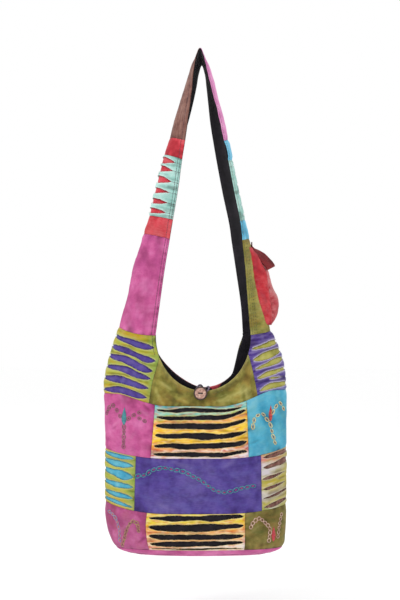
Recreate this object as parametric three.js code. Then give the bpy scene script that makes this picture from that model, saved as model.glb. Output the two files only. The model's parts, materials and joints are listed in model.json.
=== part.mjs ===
// A patchwork sling bag that hangs by its strap. The origin is the point that holds it up, under the
// strap at its highest place. Z is up, the front of the bag faces -Y, and sizes are in millimetres.
import * as THREE from 'three';

// Driving sizes
const PATCH = 1.6;          // plain patch cloth with its seam allowance
const UNDER = 0.9;          // cloth seen through the slashes
const SLASHED = 1.2;        // slashed cloth, on top of its under cloth
const LINING = 1.0;
const GAP = 0.5;            // between layers that touch
const SEAM = 0.5;           // each patch stops this short of its seam line
const LINING_GAP = 1.5;     // the lining hangs a little clear of the body
const ROUNDNESS = 2.3;      // exponent of the oval section of the body
const MEAN_RADIUS = 130;    // of the body's oval, for widths along it
const FLOOR = -990;         // height of the base
const JOINT = -555;         // height at which the strap's front and back edges leave the mouth

// The oval section of the body at each height: the middle, half the width, half the depth
const BODY = [
  { z: -990, centre: 1.6, half: 128.0, depth: 30.0 },
  { z: -984, centre: 0.0, half: 152.0, depth: 39.0 },
  { z: -977, centre: -1.5, half: 164.0, depth: 44.0 },
  { z: -949, centre: -5.5, half: 174.0, depth: 48.0 },
  { z: -920, centre: -8.3, half: 178.6, depth: 49.0 },
  { z: -885, centre: -8.5, half: 178.8, depth: 49.0 },
  { z: -781, centre: -8.3, half: 179.2, depth: 48.0 },
  { z: -715, centre: -8.6, half: 179.8, depth: 45.0 },
  { z: -655, centre: -10.0, half: 180.0, depth: 40.0 },
  { z: -625, centre: -9.2, half: 176.2, depth: 38.0 },
  { z: -601, centre: -8.4, half: 171.2, depth: 37.5 },
  { z: -575, centre: -9.6, half: 162.6, depth: 38.0 },
  { z: -555, centre: -10.5, half: 154.5, depth: 39.0 },
  { z: -535, centre: -13.0, half: 146.5, depth: 40.0 },
];

// Seam lines round the body: height in the middle, how far each side is pulled up, and where the rise
// starts and ends, in degrees round the oval from the middle of the front or back
const ROWS = {
  joint: { middle: JOINT, left: 16, right: 8, from: 28, to: 90 },
  yoke: { middle: -694.5, left: 24, right: 31, from: 12, to: 58 },
  second: { middle: -796.5, left: 16.5, right: 19.5, from: 15, to: 90 },
  third: { middle: -905, left: 20, right: 14, from: 15, to: 90 },
  base: { middle: -977, left: 1, right: 1, from: 15, to: 90 },
};

const LINING_LEVELS = [-694, -770, -850, -920, -965, -984];

// The mouth: half an ellipse in the front and in the back, within so many degrees round the oval
const MOUTH = {
  front: { centre: 6.4, half: 94, drop: 109, lean: 0, end: 70 },
  back: { centre: -2, half: 94, drop: 105, lean: 0.14, end: 110 },
};
// The fastening draws the two edges of the mouth together
const PINCH = { front: 0.2, back: 0.42, width: 55, from: -735, to: -660 };

// Plain patches: the seam lines below and above, and the degrees round the oval of the left and the
// right edge, each at the bottom and at the top
const PLAIN = [
  { name: 'yoke_front', low: 'yoke', high: 'mouth', left: [-27.1, -21.6], right: [40.2, 34.8],
    colour: 0x8f8a3f },
  { name: 'second_left', low: 'second', high: 'yoke', left: [-132, -132], right: [-26.5, -23],
    colour: 0xce5fa0 },
  { name: 'second_right', low: 'second', high: 'yoke', left: [32.3, 30.9], right: [132, 132],
    colour: 0x42adcf },
  { name: 'third_front', low: 'third', high: 'second', left: [-39.6, -38.2], right: [44, 43],
    colour: 0x5a45a0 },
  { name: 'fourth_left', low: 'base', high: 'third', left: [-132, -132], right: [-33.6, -29],
    colour: 0xc2568f },
  { name: 'fourth_right', low: 'base', high: 'third', left: [29.4, 29.6], right: [132, 132],
    colour: 0x8f8a3f },
  { name: 'yoke_back', low: 'yoke', high: 'mouth', left: [150, 153], right: [210, 207],
    colour: 0xcf3440 },
  { name: 'second_back', low: 'second', high: 'yoke', left: [132, 132], right: [228, 228],
    colour: 0x5a45a0 },
  { name: 'third_back', low: 'third', high: 'second', left: [140, 140], right: [220, 220],
    colour: 0x8f8a3f },
  { name: 'fourth_back', low: 'base', high: 'third', left: [132, 132], right: [228, 228],
    colour: 0x42adcf },
];

const SHOULDER_TALL = 128;  // usual height of a shoulder patch
const ROW_TALL = 100;       // usual height of a patch in the rows below
// Slashed patches, each over its under cloth. A slash runs from one share of the patch width to
// another, at a share of the patch height at each end, and opens by so many millimetres.
const CUT = [
  { name: 'shoulder_left', low: 'yoke', high: 'joint', left: [-150, -153], right: [-27.1, -21.6],
    tips: [0.16, 0.965], colour: 0xb9c24a, under: 0x5a45a0,
    slashes: [
      { left: 0.1, right: 0.06, open: 10 },
      { left: 0.25, right: 0.21, open: 11 },
      { left: 0.41, right: 0.37, open: 11 },
      { left: 0.55, right: 0.51, open: 11 },
      { left: 0.7, right: 0.66, open: 11 },
      { left: 0.86, right: 0.82, open: 10 },
    ] },
  { name: 'shoulder_right', low: 'yoke', high: 'joint', left: [40.2, 34.8], right: [150, 153],
    tips: [0.035, 0.82], colour: 0x5a45a0, under: 0x8f8a3f,
    slashes: [
      { left: 0.05, right: 0.12, open: 7 },
      { left: 0.2, right: 0.24, open: 6 },
      { left: 0.33, right: 0.4, open: 9 },
      { left: 0.49, right: 0.56, open: 9 },
      { left: 0.65, right: 0.71, open: 9 },
      { left: 0.81, right: 0.87, open: 8 },
    ] },
  { name: 'second_front', low: 'second', high: 'yoke', left: [-26.5, -23], right: [32.3, 30.9],
    tips: [0.03, 0.97], colour: 0xf0b48c, under: 0x17161a,
    slashes: [
      { left: 0.07, right: 0.09, open: 8 },
      { left: 0.235, right: 0.255, open: 8.5 },
      { left: 0.42, right: 0.43, open: 8.5 },
      { left: 0.595, right: 0.62, open: 8.5 },
      { left: 0.765, right: 0.79, open: 8 },
      { left: 0.895, right: 0.915, open: 6 },
    ] },
  { name: 'third_left', low: 'third', high: 'second', left: [-140, -140], right: [-39.6, -38.2],
    tips: [0.16, 0.955], colour: 0xc3be1f, under: 0x42adcf,
    slashes: [
      { left: 0.085, right: 0.06, open: 8 },
      { left: 0.235, right: 0.22, open: 9 },
      { left: 0.4, right: 0.415, open: 9 },
      { left: 0.6, right: 0.61, open: 10 },
      { left: 0.79, right: 0.8, open: 10 },
      { left: 0.935, right: 0.935, open: 8 },
    ] },
  { name: 'third_right', low: 'third', high: 'second', left: [44, 43], right: [140, 140],
    tips: [0.03, 0.82], colour: 0xd9cb52, under: 0x8a5a50,
    slashes: [
      { left: 0.06, right: 0.11, open: 8 },
      { left: 0.215, right: 0.27, open: 7 },
      { left: 0.385, right: 0.42, open: 8 },
      { left: 0.555, right: 0.58, open: 9 },
      { left: 0.755, right: 0.8, open: 9 },
      { left: 0.915, right: 0.935, open: 8 },
    ] },
  { name: 'fourth_front', low: 'base', high: 'third', left: [-33.6, -29], right: [29.4, 29.6],
    tips: [0.045, 0.975], colour: 0xf2c730, under: 0x17161a,
    slashes: [
      { left: 0.06, right: 0.065, open: 4.5 },
      { left: 0.2, right: 0.215, open: 7 },
      { left: 0.375, right: 0.4, open: 8 },
      { left: 0.615, right: 0.635, open: 8.5 },
      { left: 0.845, right: 0.88, open: 8 },
    ] },
];

// The strap as three lines: its front edge, the outermost line of its curled section and its back
// edge, from the left joint over the top to the right joint
const STRAP = [
  { at: 'left_foot', front: [-79.6, -32, -494.9], side: [-145.0, 0, -481.0], back: [-93.3, 36, -494.9] },
  { at: 'left_knee', front: [-70.0, -29, -425.7], side: [-129.1, 0, -413.0], back: [-87.4, 36, -425.7] },
  { at: 'left_pink', front: [-59.7, -27, -363.9], side: [-110.7, 0, -353.0], back: [-80.2, 36, -363.9] },
  { at: 'left_red', front: [-53.5, -26, -325.9], side: [-99.4, 0, -316.6], back: [-72.9, 35, -325.9] },
  { at: 'left_middle', front: [-43.6, -25, -267.2], side: [-85.1, 0, -257.0], back: [-59.9, 34, -267.2] },
  { at: 'left_mint', front: [-35.3, -26, -206.5], side: [-69.8, 0, -195.2], back: [-47.9, 34, -206.5] },
  { at: 'left_crimson', front: [-29.3, -28, -169.0], side: [-59.1, 0, -161.0], back: [-37.7, 32, -169.0] },
  { at: 'left_upper', front: [-23.1, -31, -125.5], side: [-47.7, 0, -121.0], back: [-24.5, 30, -127.5] },
  { at: 'left_high', front: [-16.2, -33, -78.4], side: [-33.0, 0, -75.0], back: [-13.6, 30, -84.4] },
  { at: 'left_neck', front: [-12.5, -32, -42.7], side: [-21.5, 0, -41.0], back: [-7.0, 31, -52.7] },
  { at: 'left_crest', front: [-8.9, -31, -14.9], side: [-12.7, 0, -16.0], back: [-3.2, 30, -29.9] },
  { at: 'top', front: [0.4, -30, 13.0], side: [1.0, 0, 1.6], back: [3.6, 30, -10.0] },
  { at: 'right_crest', front: [9.9, -31, -14.9], side: [14.6, 0, -16.0], back: [10.4, 30, -29.9] },
  { at: 'right_neck', front: [15.8, -32, -42.7], side: [23.0, 0, -40.0], back: [13.2, 31, -52.7] },
  { at: 'right_high', front: [25.1, -33, -78.4], side: [31.1, 0, -73.0], back: [16.6, 31, -84.4] },
  { at: 'right_upper', front: [36.3, -34, -126.0], side: [43.8, 0, -121.0], back: [21.3, 33, -128.0] },
  { at: 'right_rose', front: [47.2, -35, -170.7], side: [53.6, 0, -166.2], back: [28.2, 35, -170.7] },
  { at: 'right_sky', front: [55.7, -36, -210.0], side: [61.7, 0, -206.0], back: [35.1, 36, -210.0] },
  { at: 'right_middle', front: [66.8, -37, -268.3], side: [74.1, 0, -265.0], back: [46.2, 38, -268.3] },
  { at: 'right_mint', front: [79.2, -38, -329.4], side: [87.1, 0, -325.0], back: [59.3, 40, -329.4] },
  { at: 'right_cyan', front: [83.2, -37, -366.8], side: [96.4, 0, -363.0], back: [64.6, 41, -366.8] },
  { at: 'right_knee', front: [88.7, -35, -425.8], side: [106.0, 0, -421.0], back: [73.5, 42, -425.8] },
  { at: 'right_foot', front: [94.8, -32, -494.9], side: [119.0, 0, -489.0], back: [83.3, 42, -494.9] },
];
const BANDS = [
  { name: 'strap_left_pink', from: 'left_joint', to: 'left_pink', colour: 0xcc5fa3 },
  { name: 'strap_left_red', from: 'left_pink', to: 'left_red', colour: 0xde4a57 },
  { name: 'strap_left_crimson', from: 'left_mint', to: 'left_crimson', colour: 0xde4a57 },
  { name: 'strap_left_brown', from: 'left_crimson', to: 'top', colour: 0x8a5a50 },
  { name: 'strap_right_pink', from: 'top', to: 'right_rose', colour: 0xcc5fa3 },
  { name: 'strap_right_sky', from: 'right_rose', to: 'right_sky', colour: 0x42adcf },
  { name: 'strap_right_cyan', from: 'right_mint', to: 'right_cyan', colour: 0x42adcf },
  { name: 'strap_right_olive', from: 'right_cyan', to: 'right_joint', colour: 0x8f8a3f },
];
const CUT_BANDS = [
  { name: 'strap_left_mint', from: 'left_red', to: 'left_mint', tips: [-2 / 3, 2 / 3],
    colour: 0xa8d8cc, under: 0xde4a57, shares: [0.095, 0.26, 0.425, 0.6, 0.766, 0.9], open: 9 },
  { name: 'strap_right_mint', from: 'right_sky', to: 'right_mint', tips: [-2 / 3, 2 / 3],
    colour: 0xa8d8cc, under: 0x42adcf, shares: [0.1, 0.26, 0.42, 0.58, 0.74, 0.9], open: 8 },
];

// The pouch on the right arm: at each height where it leaves the strap, its fold and its bulge
const POUCH_FRONT = -3;
const POUCH_BACK = 36;
const POUCH_WALL = 1.4;
const POUCH_SWELL = [0.12, 0.88];  // part of a half wave that its face follows from front to back
const POUCH_SLANT = 0.09;          // the face comes in this much towards the back
const POUCH = [
  { z: -388, fold: 114, bulge: 116 },
  { z: -405, fold: 119.5, bulge: 125 },
  { z: -428, fold: 131, bulge: 137 },
  { z: -459, fold: 136.5, bulge: 147 },
  { z: -480, fold: 139.5, bulge: 157 },
  { z: -495, fold: 141.5, bulge: 160 },
  { z: -511, fold: 143.5, bulge: 158 },
  { z: -524, fold: 144.5, bulge: 153 },
  { z: -535, fold: 143, bulge: 146 },
];
const FLAP_THICK = 2.6;
// The pouch's flap stands open: its back edge from the strap outwards, and how far its front edge droops
const FLAP = [
  { x: 107.5, z: -367.0, droop: 0 },
  { x: 108.2, z: -374.0, droop: 0 },
  { x: 113.0, z: -379.5, droop: 3 },
  { x: 124.5, z: -389.0, droop: 8 },
  { x: 137.0, z: -400.5, droop: 12.5 },
  { x: 147.0, z: -411.5, droop: 15 },
  { x: 150.0, z: -417.5, droop: 15 },
];

const BUTTON = {
  x: 1, z: -668.5, turn: 4, radius: 13.8, thick: 3.2, hole: 1.5, spread: 3.4, standoff: 4.4, shank: 1.4,
};
// The cord loop: its radius, where its ends leave the back, and how far it passes the button's thread
const LOOP = { cord: 1.3, left: -3, right: 13, apart: 4 };

const lerp = THREE.MathUtils.lerp;
const radians = THREE.MathUtils.degToRad;

function smooth(value) {
  const x = Math.min(1, Math.max(0, value));
  return x * x * (3 - 2 * x);
}

function power(value, exponent) {
  return Math.sign(value) * Math.abs(value) ** exponent;
}

// One column of a table, smoothly between its rows
function column(table, key, name, at) {
  let k = table.findIndex((row) => (row[key] - at) * (table[1][key] - table[0][key]) > 0) - 1;
  if (k === -2) k = table.length - 2;
  k = Math.min(table.length - 2, Math.max(0, k));
  const slope = (i) => {
    const a = table[Math.max(0, i - 1)];
    const b = table[Math.min(table.length - 1, i + 1)];
    return (b[name] - a[name]) / (b[key] - a[key]);
  };
  const run = table[k + 1][key] - table[k][key];
  const s = (at - table[k][key]) / run;
  const start = table[k][name] * (2 * s ** 3 - 3 * s ** 2 + 1) + slope(k) * run * (s ** 3 - 2 * s ** 2 + s);
  return start + table[k + 1][name] * (3 * s ** 2 - 2 * s ** 3) + slope(k + 1) * run * (s ** 3 - s ** 2);
}

// Degrees round the oval: 0 is the middle of the front, 90 the right side, 180 the middle of the back
function bodyPoint(turn, z) {
  const centre = column(BODY, 'z', 'centre', z);
  const half = column(BODY, 'z', 'half', z);
  const depth = column(BODY, 'z', 'depth', z);
  const side = half * power(Math.sin(radians(turn)), 2 / ROUNDNESS);
  const facing = Math.cos(radians(turn));
  const draw = facing > 0 ? PINCH.front : PINCH.back;
  const near = smooth((z - PINCH.from) / (PINCH.to - PINCH.from)) * Math.exp(-((side / PINCH.width) ** 2));
  const y = -depth * power(facing, 2 / ROUNDNESS) * (1 - draw * near);
  return new THREE.Vector3(centre + side, y, z);
}

function bodySkin(turn, z, lift) {
  const across = bodyPoint(turn + 0.6, z).sub(bodyPoint(turn - 0.6, z));
  const up = bodyPoint(turn, z + 2).sub(bodyPoint(turn, z - 2));
  return across.cross(up).normalize().multiplyScalar(lift).add(bodyPoint(turn, z));
}

function rowHeight(row, turn) {
  const around = ((turn + 540) % 360) - 180;
  const apart = Math.abs(around) > 90 ? 180 - Math.abs(around) : Math.abs(around);
  const line = ROWS[row];
  const pull = around < 0 ? line.left : line.right;
  const end = Math.abs(around) > 90 ? 90 : line.to;
  return line.middle + pull * smooth((apart - line.from) / (end - line.from));
}

// Height of the edge of the mouth over a place across the bag
function mouthHeight(edge, x) {
  const share = Math.min(1, Math.abs(x - edge.centre) / edge.half);
  const dip = Math.sqrt(1 - share * share);
  return JOINT - dip * (edge.drop + edge.lean * (x - edge.centre));
}

function mouthAt(turn) {
  const edge = Math.cos(radians(turn)) > 0 ? MOUTH.front : MOUTH.back;
  let low = -690;
  let high = JOINT;
  for (let step = 0; step < 40; step += 1) {
    const middle = (low + high) / 2;
    if (middle < mouthHeight(edge, bodyPoint(turn, middle).x)) low = middle;
    else high = middle;
  }
  return (low + high) / 2;
}

// Degrees at which the edge of the mouth crosses a height, searched between two turns
function mouthTurn(z, inner, outer) {
  let low = inner;
  let high = outer;
  for (let step = 0; step < 40; step += 1) {
    const middle = (low + high) / 2;
    if (mouthAt(middle) < z) low = middle;
    else high = middle;
  }
  return (low + high) / 2;
}

const CORNER = {
  frontLeft: mouthTurn(JOINT - SEAM, BUTTON.turn, -MOUTH.front.end),
  frontRight: mouthTurn(JOINT - SEAM, BUTTON.turn, MOUTH.front.end),
  backRight: mouthTurn(JOINT - SEAM, 180, MOUTH.back.end),
  backLeft: mouthTurn(JOINT - SEAM, 180, 360 - MOUTH.back.end),
};

function topOf(turn) {
  const around = ((turn + 540) % 360) - 180;
  const inFront = around > CORNER.frontLeft && around < CORNER.frontRight;
  const inBack = around > CORNER.backRight || around < CORNER.backLeft - 360;
  return inFront || inBack ? mouthAt(around) : rowHeight('joint', around);
}

function lineHeight(row, turn) {
  return row === 'mouth' ? mouthAt(turn) : rowHeight(row, turn);
}

// The edge of a patch in degrees at a share of its height. A shoulder follows its seam with the yoke
// and then the edge of the mouth.
function edgeTurn(patch, side, share) {
  const [bottom, top] = patch[side];
  if (patch.high !== 'joint' && patch.high !== 'mouth') return lerp(bottom, top, share);
  const meets = mouthAt(top);
  const base = rowHeight(patch.low, bottom);
  const isBack = Math.abs(top) > 90;
  const middle = isBack ? 180 * Math.sign(top) : BUTTON.turn;
  const outer = (isBack ? MOUTH.back.end : MOUTH.front.end) * Math.sign(top);
  let turn = bottom;
  for (let step = 0; step < 12; step += 1) {
    const z = lerp(lineHeight(patch.low, turn), lineHeight(patch.high, turn), share);
    const onSeam = lerp(bottom, top, Math.min(1, (z - base) / (meets - base)));
    const onMouth = patch.high === 'joint' && z > meets;
    turn = onMouth ? mouthTurn(Math.min(z, JOINT - SEAM), middle, outer) : onSeam;
  }
  return turn;
}

function patchPoint(patch, across, share, lift) {
  const left = edgeTurn(patch, 'left', share);
  const right = edgeTurn(patch, 'right', share);
  const narrow = radians(right - left) * MEAN_RADIUS;
  const turn = lerp(left, right, SEAM / narrow + across * (1 - 2 * SEAM / narrow));
  const low = lineHeight(patch.low, turn) + SEAM;
  const high = lineHeight(patch.high, turn) - SEAM;
  return bodySkin(turn, lerp(low, high, share), lift);
}

// The strap: three smooth lines and a parabola across them, from 1 at the back edge to -1 at the front
const joint = (name, front, back, side, rise) => ({
  at: name,
  front: bodyPoint(front, JOINT).toArray(),
  side: bodyPoint(side, JOINT + rise).toArray(),
  back: bodyPoint(back, JOINT).toArray(),
});
const STATIONS = [
  joint('left_joint', CORNER.frontLeft, CORNER.backLeft - 360, -90, ROWS.joint.left),
  ...STRAP,
  joint('right_joint', CORNER.frontRight, CORNER.backRight, 90, ROWS.joint.right),
];
const RAILS = Object.fromEntries(['front', 'side', 'back'].map((name) => [
  name,
  new THREE.CatmullRomCurve3(
    STATIONS.map((row) => new THREE.Vector3(...row[name])),
    false,
    'catmullrom',
    0.5,
  ),
]));
const LAST = STATIONS.length - 1;

function stationOf(name) {
  return STATIONS.findIndex((row) => row.at === name);
}

function acrossRails(across, station) {
  const t = Math.min(1, Math.max(0, station / LAST));
  const front = RAILS.front.getPoint(t);
  const side = RAILS.side.getPoint(t);
  const back = RAILS.back.getPoint(t);
  const slope = back.clone().sub(front).multiplyScalar(across / 2);
  const bow = back.clone().add(front).addScaledVector(side, -2).multiplyScalar(across * across / 2);
  return side.add(slope).add(bow);
}

// The top edge of the body, in the strap's own measure across
function jointPoint(across, isLeft) {
  const front = isLeft ? CORNER.frontLeft : CORNER.frontRight;
  const back = isLeft ? CORNER.backLeft - 360 : CORNER.backRight;
  const side = isLeft ? -90 : 90;
  const turn = lerp(side, across < 0 ? front : back, Math.abs(across) ** 1.25);
  return bodyPoint(turn, rowHeight('joint', turn));
}

// Near a joint the strap takes the shape of the body's top edge
function strapPoint(across, station) {
  const point = acrossRails(across, station);
  const isLeft = station < LAST / 2;
  const away = isLeft ? station : LAST - station;
  if (away >= 2) return point;
  const end = isLeft ? 0 : LAST;
  const shift = jointPoint(across, isLeft).sub(acrossRails(across, end));
  return point.addScaledVector(shift, 1 - smooth(away / 2));
}

function strapSkin(across, station, lift) {
  const h = 0.05;
  const over = strapPoint(across - h, station).sub(strapPoint(across + h, station));
  const from = Math.max(0, station - h);
  const to = Math.min(LAST, station + h);
  const along = strapPoint(across, to).sub(strapPoint(across, from));
  return over.cross(along).normalize().multiplyScalar(lift).add(strapPoint(across, station));
}

function named(name, geometry, color, roughness) {
  const mesh = new THREE.Mesh(geometry, new THREE.MeshStandardMaterial({ color, roughness }));
  mesh.name = name;
  return mesh;
}

class Faces {
  constructor() {
    this.points = [];
  }

  triangle(a, b, c) {
    if (a.distanceTo(b) < 2e-3 || b.distanceTo(c) < 2e-3 || c.distanceTo(a) < 2e-3) return;
    for (const p of [a, b, c]) this.points.push(p.x, p.y, p.z);
  }

  quad(a, b, c, d) {
    this.triangle(a, b, c);
    this.triangle(a, c, d);
  }

  mesh(name, colour) {
    const geometry = new THREE.BufferGeometry();
    geometry.setAttribute('position', new THREE.Float32BufferAttribute(this.points, 3));
    geometry.computeVertexNormals();
    return named(name, geometry, colour, 0.9);
  }
}

// A cloth wall from two grids of points, columns by knots. In a pierced cloth every second space
// between knots is a slash, shut where its two knots are one point.
function cloth(name, colour, outer, inner, pierced) {
  const faces = new Faces();
  const knots = outer[0].length;
  const shut = (j, r) => outer[j][r].distanceTo(outer[j][r + 1]) < 2e-3;
  const solid = (r) => !pierced || r % 2 === 0;
  for (let j = 0; j + 1 < outer.length; j += 1) {
    for (let r = 0; r + 1 < knots; r += 1) {
      if (!solid(r)) continue;
      faces.quad(outer[j][r], outer[j + 1][r], outer[j + 1][r + 1], outer[j][r + 1]);
      faces.quad(inner[j][r], inner[j][r + 1], inner[j + 1][r + 1], inner[j + 1][r]);
      const openBelow = r === 0 || (pierced && !(shut(j, r - 1) && shut(j + 1, r - 1)));
      const openAbove = r + 2 === knots || (pierced && !(shut(j, r + 1) && shut(j + 1, r + 1)));
      if (openBelow) faces.quad(outer[j][r], inner[j][r], inner[j + 1][r], outer[j + 1][r]);
      if (openAbove) faces.quad(outer[j][r + 1], outer[j + 1][r + 1], inner[j + 1][r + 1], inner[j][r + 1]);
    }
  }
  const end = outer.length - 1;
  for (let r = 0; r + 1 < knots; r += 1) {
    if (!solid(r)) continue;
    faces.quad(outer[0][r], outer[0][r + 1], inner[0][r + 1], inner[0][r]);
    faces.quad(outer[end][r], inner[end][r], inner[end][r + 1], outer[end][r + 1]);
  }
  return faces.mesh(name, colour);
}

// A cup from rings of points, rim first, each ring counterclockwise seen from above
function cup(name, colour, outer, inner) {
  const faces = new Faces();
  const count = outer[0].length;
  const middle = (ring) => ring.reduce((sum, p) => sum.add(p), new THREE.Vector3()).divideScalar(count);
  const floor = outer.length - 1;
  const under = middle(outer[floor]);
  const inside = middle(inner[floor]);
  for (let j = 0; j < count; j += 1) {
    const n = (j + 1) % count;
    for (let r = 0; r < floor; r += 1) {
      faces.quad(outer[r + 1][j], outer[r + 1][n], outer[r][n], outer[r][j]);
      faces.quad(inner[r + 1][n], inner[r + 1][j], inner[r][j], inner[r][n]);
    }
    faces.quad(outer[0][j], outer[0][n], inner[0][n], inner[0][j]);
    faces.triangle(outer[floor][n], outer[floor][j], under);
    faces.triangle(inner[floor][j], inner[floor][n], inside);
  }
  return faces.mesh(name, colour);
}

function spread(from, to, steps) {
  return Array.from({ length: steps + 1 }, (_, i) => lerp(from, to, i / steps));
}

function columnsOf(patch) {
  const wide = Math.abs(patch.right[0] - patch.left[0]);
  return Math.max(5, Math.ceil(wide / 10));
}

function plainPatch(patch) {
  const shares = spread(0, 1, patch.low === 'base' || patch.high === 'mouth' ? 4 : 2);
  const columns = spread(0, 1, columnsOf(patch));
  const grid = (lift) => columns.map((s) => shares.map((v) => patchPoint(patch, s, v, lift)));
  return cloth(patch.name, patch.colour, grid(PATCH), grid(0), false);
}

function slashOpening(at, from, to) {
  const q = (at - from) / (to - from);
  if (q <= 1e-6 || q >= 1 - 1e-6) return 0;
  return (4 * q * (1 - q)) ** 0.6;
}

function cutPatch(patch) {
  const [from, to] = patch.tips;
  const inner = spread(from, to, Math.max(6, Math.ceil(columnsOf(patch) * 0.6)));
  const margins = [from / 2, (1 + to) / 2].filter((s) => s > 0.06 && s < 0.94);
  const columns = [0, ...inner, ...margins, 1].sort((a, b) => a - b);
  const tall = patch.high === 'joint' ? SHOULDER_TALL : ROW_TALL;
  const knots = (s) => {
    const cuts = patch.slashes.flatMap((slash) => {
      const half = slash.open / tall / 2 * slashOpening(s, from, to);
      const middle = lerp(slash.left, slash.right, Math.min(1, Math.max(0, (s - from) / (to - from))));
      return [Math.max(0.012, middle - half), Math.min(0.988, middle + half)];
    });
    return [0, ...cuts, 1];
  };
  const top = (lift) => columns.map((s) => knots(s).map((v) => patchPoint(patch, s, v, lift)));
  const rows = patch.high === 'joint' ? 6 : 2;
  const low = (lift) => columns.map((s) => spread(0, 1, rows).map((v) => patchPoint(patch, s, v, lift)));
  const rise = UNDER + GAP;
  return [
    cloth(patch.name, patch.colour, top(rise + SLASHED), top(rise), true),
    cloth(patch.name + '_under', patch.under, low(UNDER), low(0), false),
  ];
}

// Stations of a strap band, closer together where the strap turns over its top
function bandStations(from, to) {
  const first = stationOf(from);
  const last = stationOf(to);
  const top = stationOf('top');
  const list = [];
  for (let k = first; k < last; k += 1) {
    const nearTop = k === top || k === top - 1;
    const curls = k < 6 || k > LAST - 7;
    const steps = nearTop ? 4 : 1 + Number(curls);
    for (let i = 0; i < steps; i += 1) list.push(k + i / steps);
  }
  return [...list, last];
}

// The strap narrows to its seams by the seam allowance, measured along it
function inset(stations) {
  const list = [...stations];
  const run = (a, b) => strapPoint(0, a).distanceTo(strapPoint(0, b));
  const short = (a, b) => SEAM / Math.max(1, run(a, b)) * Math.abs(b - a);
  const end = list.length - 1;
  list[0] += short(list[0], list[1]);
  list[end] -= short(list[end - 1], list[end]);
  return list;
}

const ACROSS = spread(1, -1, 6);

function band(row) {
  const stations = inset(bandStations(row.from, row.to));
  const grid = (lift) => ACROSS.map((w) => stations.map((s) => strapSkin(w, s, lift)));
  return cloth(row.name, row.colour, grid(PATCH), grid(0), false);
}

function cutBand(row) {
  const stations = inset(bandStations(row.from, row.to));
  const first = stations[0];
  const last = stations[stations.length - 1];
  const [front, back] = row.tips;
  const columns = [1, ...spread(back, front, 8), -1];
  const long = strapPoint(0, first).distanceTo(strapPoint(0, last));
  const knots = (w) => {
    const cuts = row.shares.flatMap((share) => {
      const half = row.open / long / 2 * slashOpening(w, front, back);
      return [share - half, share + half];
    });
    return [0, ...cuts, 1].map((share) => lerp(first, last, share));
  };
  const top = (lift) => columns.map((w) => knots(w).map((s) => strapSkin(w, s, lift)));
  const low = (lift) => ACROSS.map((w) => stations.map((s) => strapSkin(w, s, lift)));
  const rise = UNDER + GAP;
  return [
    cloth(row.name, row.colour, top(rise + SLASHED), top(rise), true),
    cloth(row.name + '_under', row.under, low(UNDER), low(0), false),
  ];
}

function strapLining() {
  const stations = inset(bandStations('left_joint', 'right_joint'));
  const columns = [1, 2 / 3, 0, -2 / 3, -1];
  const grid = (lift) => columns.map((w) => stations.map((s) => strapSkin(w, s, lift)));
  return cloth('strap_lining', 0x262029, grid(-GAP), grid(-GAP - LINING), false);
}

const ROUND = spread(-180, 180, 36).slice(0, -1);

// A flat ring near the base, a little inside or outside the body's lowest section
function floorRing(z, grow) {
  return ROUND.map((turn) => {
    const p = bodyPoint(turn, FLOOR);
    const wide = (BODY[0].half + grow) / BODY[0].half;
    const deep = (BODY[0].depth + grow) / BODY[0].depth;
    return new THREE.Vector3(BODY[0].centre + (p.x - BODY[0].centre) * wide, p.y * deep, z);
  });
}

function base() {
  const ring = (lift) => [
    ROUND.map((turn) => bodySkin(turn, rowHeight('base', turn) - SEAM, lift)),
    ROUND.map((turn) => bodySkin(turn, BODY[1].z, lift)),
  ];
  const outer = [...ring(PATCH), floorRing(FLOOR - PATCH, 0.8)];
  const inner = [...ring(0), floorRing(FLOOR, 0)];
  return cup('base', 0xc2568f, outer, inner);
}

function lining() {
  const [top] = LINING_LEVELS;
  const ring = (lift) => [
    ...[1, 0.7, 0.4].map((share) => ROUND.map((turn) => {
      return bodySkin(turn, lerp(top, topOf(turn) - 2 * SEAM, share), lift);
    })),
    ...LINING_LEVELS.map((z) => ROUND.map((turn) => bodySkin(turn, z, lift))),
  ];
  const low = FLOOR + LINING_GAP;
  const outer = [...ring(-LINING_GAP), floorRing(low, -2)];
  const inner = [...ring(-LINING_GAP - LINING), floorRing(low + LINING, -4)];
  return cup('lining', 0x262029, outer, inner);
}

// The point of the right arm's outside at a height and a depth
function armPoint(y, z, lift) {
  let low = stationOf('right_mint');
  let high = LAST;
  const across = y / 40;
  for (let step = 0; step < 40; step += 1) {
    const middle = (low + high) / 2;
    if (strapPoint(across, middle).z > z) low = middle;
    else high = middle;
  }
  return strapSkin(across, (low + high) / 2, lift);
}

function pouch() {
  const depth = POUCH_BACK - POUCH_FRONT;
  const ringAt = (row, wall) => {
    const front = POUCH_FRONT + wall;
    const back = POUCH_BACK - wall;
    const root = spread(back, front, 4).map((y) => armPoint(y, row.z, PATCH + 3 * GAP + wall));
    const bow = spread(0, 1, 4).map((share) => {
      const y = lerp(front, back, share);
      const wave = Math.PI * lerp(POUCH_SWELL[0], POUCH_SWELL[1], share);
      const swell = (row.bulge - row.fold) * Math.sin(wave);
      return new THREE.Vector3(row.fold + swell - POUCH_SLANT * depth * share - wall, y, row.z);
    });
    return [...bow, ...root];
  };
  const floor = POUCH[POUCH.length - 1];
  const shallow = { z: floor.z + POUCH_WALL, fold: floor.fold, bulge: floor.bulge };
  const outer = POUCH.map((row) => ringAt(row, 0));
  const inner = [...POUCH.slice(0, -1), shallow].map((row) => ringAt(row, POUCH_WALL));
  return cup('pouch', 0xcf3440, outer, inner);
}

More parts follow.
